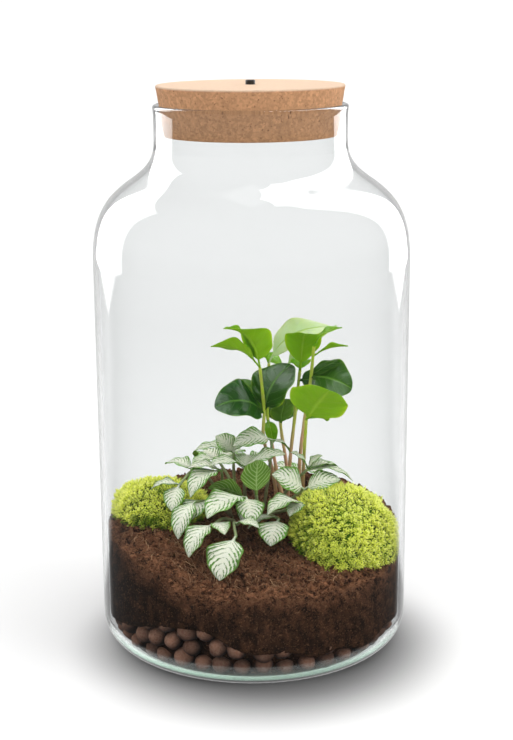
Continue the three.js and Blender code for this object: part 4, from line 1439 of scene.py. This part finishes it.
def build_nerve_plant(settings, materials):
    """Each shoot is its stem, with the second material, and its leaves, with the first."""
    random = np.random.default_rng(61)
    for index, (path, leaves) in enumerate(NERVE_PLANT):
        gathered = Gathered("tone", "upper")
        add_stem(gathered, path, settings.nerve_stem)
        for number, leaf in enumerate(leaves):
            base = along_stem(path, leaf[0])[0]
            seed = 300 + 10 * index + number
            add_leaf(gathered, base, leaf, NERVE_LEAF, 0.5, 26, 28, seed, tone=random.uniform(0, 1))
        node = f"nerve_plant_stem_{index + 1}"
        gathered.to_piece(f"nerve_shoot_{index + 1}", materials, "nerve_leaf", node)


# Stage

# The camera looks level to the back before it is pitched down and rolled, in degrees

CAMERA = {
    "place": (0.0, -809.7, 356.6),
    "pitch": 14.103,
    "roll": -0.416,
    "lens": 72.905,
    "shift": 0.00562,
}


def build_stage(settings):
    """A white floor that sweeps up behind the jar, soft lights, and the camera at the view's angle."""
    width, front, back, height, bend = 2600.0, -1500.0, 1300.0, 1500.0, 500.0
    sweep = arc((back - bend, bend), (bend, bend), -90, 0, 20)
    line = np.array([(front, 0.0), (0.0, 0.0), *sweep, (back, height)])
    across = np.linspace(-width / 2, width / 2, 3)
    points = np.stack(np.broadcast_arrays(across[None], line[:, :1], line[:, 1:]), -1)
    i, j = np.meshgrid(np.arange(len(line) - 1), np.arange(2), indexing="ij")
    quads = np.stack([i * 3 + j, i * 3 + j + 1, i * 3 + j + 4, i * 3 + j + 3], -1).reshape(-1, 4)
    mesh = bpy.data.meshes.new("studio_sweep")
    mesh.from_pydata((points.reshape(-1, 3) * MM).tolist(), [], quads.tolist())
    mesh.materials.append(floor_material(settings))
    mesh.shade_smooth()
    floor = bpy.data.objects.new("studio_sweep", mesh)
    bpy.context.scene.collection.objects.link(floor)
    floor.visible_glossy = False

    def area_light(name, place, aim, size, power):
        """A flat light with its place, aim and size in metres, which mirrors don't show."""
        data = bpy.data.lights.new(name, "AREA")
        data.shape = "RECTANGLE"
        data.size, data.size_y = size
        data.energy = power
        light = bpy.data.objects.new(name, data)
        light.location = place
        light.rotation_euler = (Vector(aim) - Vector(place)).to_track_quat("-Z", "Y").to_euler()
        light.visible_glossy = False
        light.visible_transmission = False
        bpy.context.scene.collection.objects.link(light)
        return light

    area_light("top_softbox", (0.1, -0.3, 2.2), (0, 0, 0.1), (2.2, 2.2), settings.top_power)
    area_light("left_fill", (-1.3, -0.9, 0.9), (0, 0, 0.1), (0.9, 1.2), 1.4 * settings.side_power)
    area_light("right_fill", (1.3, -0.5, 0.9), (0, 0, 0.1), (0.9, 1.2), 2.2 * settings.side_power)
    area_light("back_light", (0.0, 0.2, 1.9), (0, 1.3, 0.5), (2.4, 0.6), settings.back_power)
    bpy.context.scene.world = studio_world(settings)

    pitch, roll = math.radians(CAMERA["pitch"]), math.radians(CAMERA["roll"])
    right = Vector((1, 0, 0))
    up = Vector((0, math.sin(pitch), math.cos(pitch)))
    turned_right = math.cos(roll) * right + math.sin(roll) * up
    turned_up = -math.sin(roll) * right + math.cos(roll) * up
    back_axis = turned_right.cross(turned_up)
    axes = Matrix((turned_right, turned_up, back_axis)).transposed()
    data = bpy.data.cameras.new("camera")
    data.lens = CAMERA["lens"]
    data.sensor_width = 36.0
    data.shift_x = CAMERA["shift"]
    data.clip_start = 0.01
    camera = bpy.data.objects.new("camera", data)
    camera.matrix_world = Matrix.Translation(Vector(CAMERA["place"]) * MM) @ axes.to_4x4()
    bpy.context.scene.collection.objects.link(camera)
    bpy.context.scene.camera = camera
    bpy.context.scene.view_settings.view_transform = "Standard"


# Settings, operators and panel

def color_property(name, description, default):
    """A colour setting."""
    return FloatVectorProperty(
        name=name, description=description, default=default, size=3, min=0.0, max=1.0, subtype="COLOR"
    )


def number_property(name, description, default, **options):
    """A number setting."""
    return FloatProperty(name=name, description=description, default=default, **options)


class JarSettings(PropertyGroup):
    """The jar and its cork"""

    sides: IntProperty(name="Sides", description="Faces round the jar", default=192, min=24)
    glass_color: color_property("Glass", "Colour of the front wall", (0.925, 0.935, 0.935))
    far_color: color_property("Far glass", "Colour of the glass behind it", (0.932, 0.937, 0.937))
    # Painted shade of the glass seen edge on
    rim_color: color_property("Rim glass", "Colour of the glass seen edge on", (0.66, 0.68, 0.68))
    foot_color: color_property("Thick glass", "Colour of the glass at the foot", (0.5, 0.8, 0.62))
    cork_color: color_property("Cork", "Colour of the cork's side", (0.52, 0.275, 0.14))
    # The colour of the cork's top is painted light
    cork_top_painted_light: color_property("Cork top", "Colour of the cork's top", (0.66, 0.52, 0.4))


class GroundSettings(PropertyGroup):
    """The soil and what lies loose on it"""

    soil_color: color_property("Soil", "Colour of the soil in the light", (0.55, 0.245, 0.125))
    crumb_color: color_property("Crumbs", "Colour of its light bark specks", (0.46, 0.24, 0.13))
    crumbs: IntProperty(name="Crumbs", description="Loose crumbs on the soil", default=5200, min=0)
    fibres: IntProperty(name="Fibres", description="Root fibres on the soil", default=2600, min=0)


class MossSettings(PropertyGroup):
    """The moss cushions"""

    moss_deep: color_property("Deep moss", "Colour low in a cushion", (0.16, 0.42, 0.006))
    moss_bright: color_property("Bright moss", "Colour at the shoots' tips", (0.95, 1.0, 0.13))
    density: number_property("Density", "Share of the shoots", 1.0, min=0.1, max=1.5)


class PlantSettings(PropertyGroup):
    """The coffee seedlings and the nerve plant"""

    old_leaf: color_property("Old leaf", "Upper face of an old coffee leaf", (0.008, 0.055, 0.003))
    young_leaf: color_property("Young leaf", "Upper face of a young coffee leaf", (0.17, 0.42, 0.008))
    nerve_green: color_property("Nerve green", "Nerve plant between its veins", (0.11, 0.27, 0.03))
    nerve_cream: color_property("Nerve cream", "Veins of the nerve plant", (0.86, 0.89, 0.72))
    coffee_stem: number_property("Coffee stem", "Radius in mm", 1.05, min=0.1)
    nerve_stem: number_property("Nerve stem", "Radius in mm", 0.95, min=0.1)


class StageSettings(PropertyGroup):
    """The paper, the lights and the room that the jar mirrors"""

    floor_color: color_property("Floor", "Colour of the studio paper", (0.76, 0.76, 0.76))
    # The paper as the jar mirrors it, its painted shade and its painted glow under the foot
    mirrored: number_property("Mirrored floor", "Its share in reflections", 0.05)
    foot_shade: number_property("Foot shade", "Shade on the paper at the foot", 0.8)
    foot_light: number_property("Foot light", "Light gathered by the foot", 0.4)
    top_power: number_property("Top light", "Power above", 36.0, unit="POWER")
    side_power: number_property("Side lights", "Power at each side", 5.5, unit="POWER")
    back_power: number_property("Back light", "Power on the sweep", 9.0, unit="POWER")
    room: number_property("Room", "Strength of the room's even light", 0.5)
    backdrop: number_property("Backdrop", "Strength as seen past the paper", 0.92)
    sheen: number_property("Sheen", "Strength of the soft lights that leaves mirror", 8.0)
    softbox: number_property("Softboxes", "Strength in reflections", 6.0)
    wall: number_property("Wall", "Strength behind the jar in reflections", 0.8)
    dark: number_property("Dark side", "Strength at the front in reflections", 0.04)


class JARGARDEN_OT_jar(Operator):
    """Builds the glass jar"""

    bl_idname = "jar_garden.jar"
    bl_label = "Glass jar"

    def execute(self, context):
        build_jar(context.scene.jar_settings)
        return {"FINISHED"}


class JARGARDEN_OT_stopper(Operator):
    """Builds the cork stopper and its pin"""

    bl_idname = "jar_garden.stopper"
    bl_label = "Cork stopper"

    def execute(self, context):
        build_stopper(context.scene.jar_settings)
        build_stud()
        return {"FINISHED"}


class JARGARDEN_OT_pebbles(Operator):
    """Builds the clay pebbles"""

    bl_idname = "jar_garden.pebbles"
    bl_label = "Pebbles"

    def execute(self, context):
        build_pebbles()
        return {"FINISHED"}


class JARGARDEN_OT_soil(Operator):
    """Builds the soil with its crumbs and fibres"""

    bl_idname = "jar_garden.soil"
    bl_label = "Soil"

    def execute(self, context):
        settings = context.scene.ground_settings
        build_soil(settings)
        build_crumbs(settings)
        build_fibres(settings)
        return {"FINISHED"}


class JARGARDEN_OT_moss(Operator):
    """Builds the moss cushions"""

    bl_idname = "jar_garden.moss"
    bl_label = "Moss"

    def execute(self, context):
        settings = context.scene.moss_settings
        material = moss_material(settings)
        for name in MOSS:
            build_moss_mat(name, material)
            build_moss_shoots(name, settings, material)
        return {"FINISHED"}


class JARGARDEN_OT_coffee(Operator):
    """Builds the coffee seedlings"""

    bl_idname = "jar_garden.coffee"
    bl_label = "Coffee seedlings"

    def execute(self, context):
        settings = context.scene.plant_settings
        build_coffee(settings, [coffee_leaf_material(settings), coffee_stem_material()])
        return {"FINISHED"}


class JARGARDEN_OT_nerve_plant(Operator):
    """Builds the clump of nerve plant"""

    bl_idname = "jar_garden.nerve_plant"
    bl_label = "Nerve plant"

    def execute(self, context):
        settings = context.scene.plant_settings
        build_nerve_plant(settings, [nerve_leaf_material(settings), nerve_stem_material()])
        return {"FINISHED"}


class JARGARDEN_OT_stage(Operator):
    """Builds the floor, lights and camera"""

    bl_idname = "jar_garden.stage"
    bl_label = "Stage"

    def execute(self, context):
        build_stage(context.scene.stage_settings)
        return {"FINISHED"}


OPERATORS = (
    JARGARDEN_OT_stage,
    JARGARDEN_OT_jar,
    JARGARDEN_OT_stopper,
    JARGARDEN_OT_pebbles,
    JARGARDEN_OT_soil,
    JARGARDEN_OT_moss,
    JARGARDEN_OT_coffee,
    JARGARDEN_OT_nerve_plant,
)
SETTINGS = {
    "jar_settings": JarSettings,
    "ground_settings": GroundSettings,
    "moss_settings": MossSettings,
    "plant_settings": PlantSettings,
    "stage_settings": StageSettings,
}


class JARGARDEN_PT_panel(Panel):
    """Lists the settings and the pieces that can be built"""

    bl_label = "Plant Jar"
    bl_idname = "JARGARDEN_PT_panel"
    bl_space_type = "VIEW_3D"
    bl_region_type = "UI"
    bl_category = "Plant Jar"

    def draw(self, context):
        for name, settings in SETTINGS.items():
            box = self.layout.box()
            for field in settings.__annotations__:
                box.prop(getattr(context.scene, name), field)
        for operator in OPERATORS:
            self.layout.operator(operator.bl_idname)


def register():
    """Makes the settings, the operators and the panel known to Blender."""
    for cls in (*SETTINGS.values(), *OPERATORS, JARGARDEN_PT_panel):
        bpy.utils.register_class(cls)
    for name, settings in SETTINGS.items():
        setattr(bpy.types.Scene, name, PointerProperty(type=settings))


def unregister():
    """Takes them out again in the opposite order."""
    for name in SETTINGS:
        delattr(bpy.types.Scene, name)
    for cls in reversed((*SETTINGS.values(), *OPERATORS, JARGARDEN_PT_panel)):
        bpy.utils.unregister_class(cls)


def main():
    """Builds every piece in order."""
    register()
    for operator in OPERATORS:
        group, name = operator.bl_idname.split(".")
        getattr(getattr(bpy.ops, group), name)()


if __name__ == "__main__":
    main()
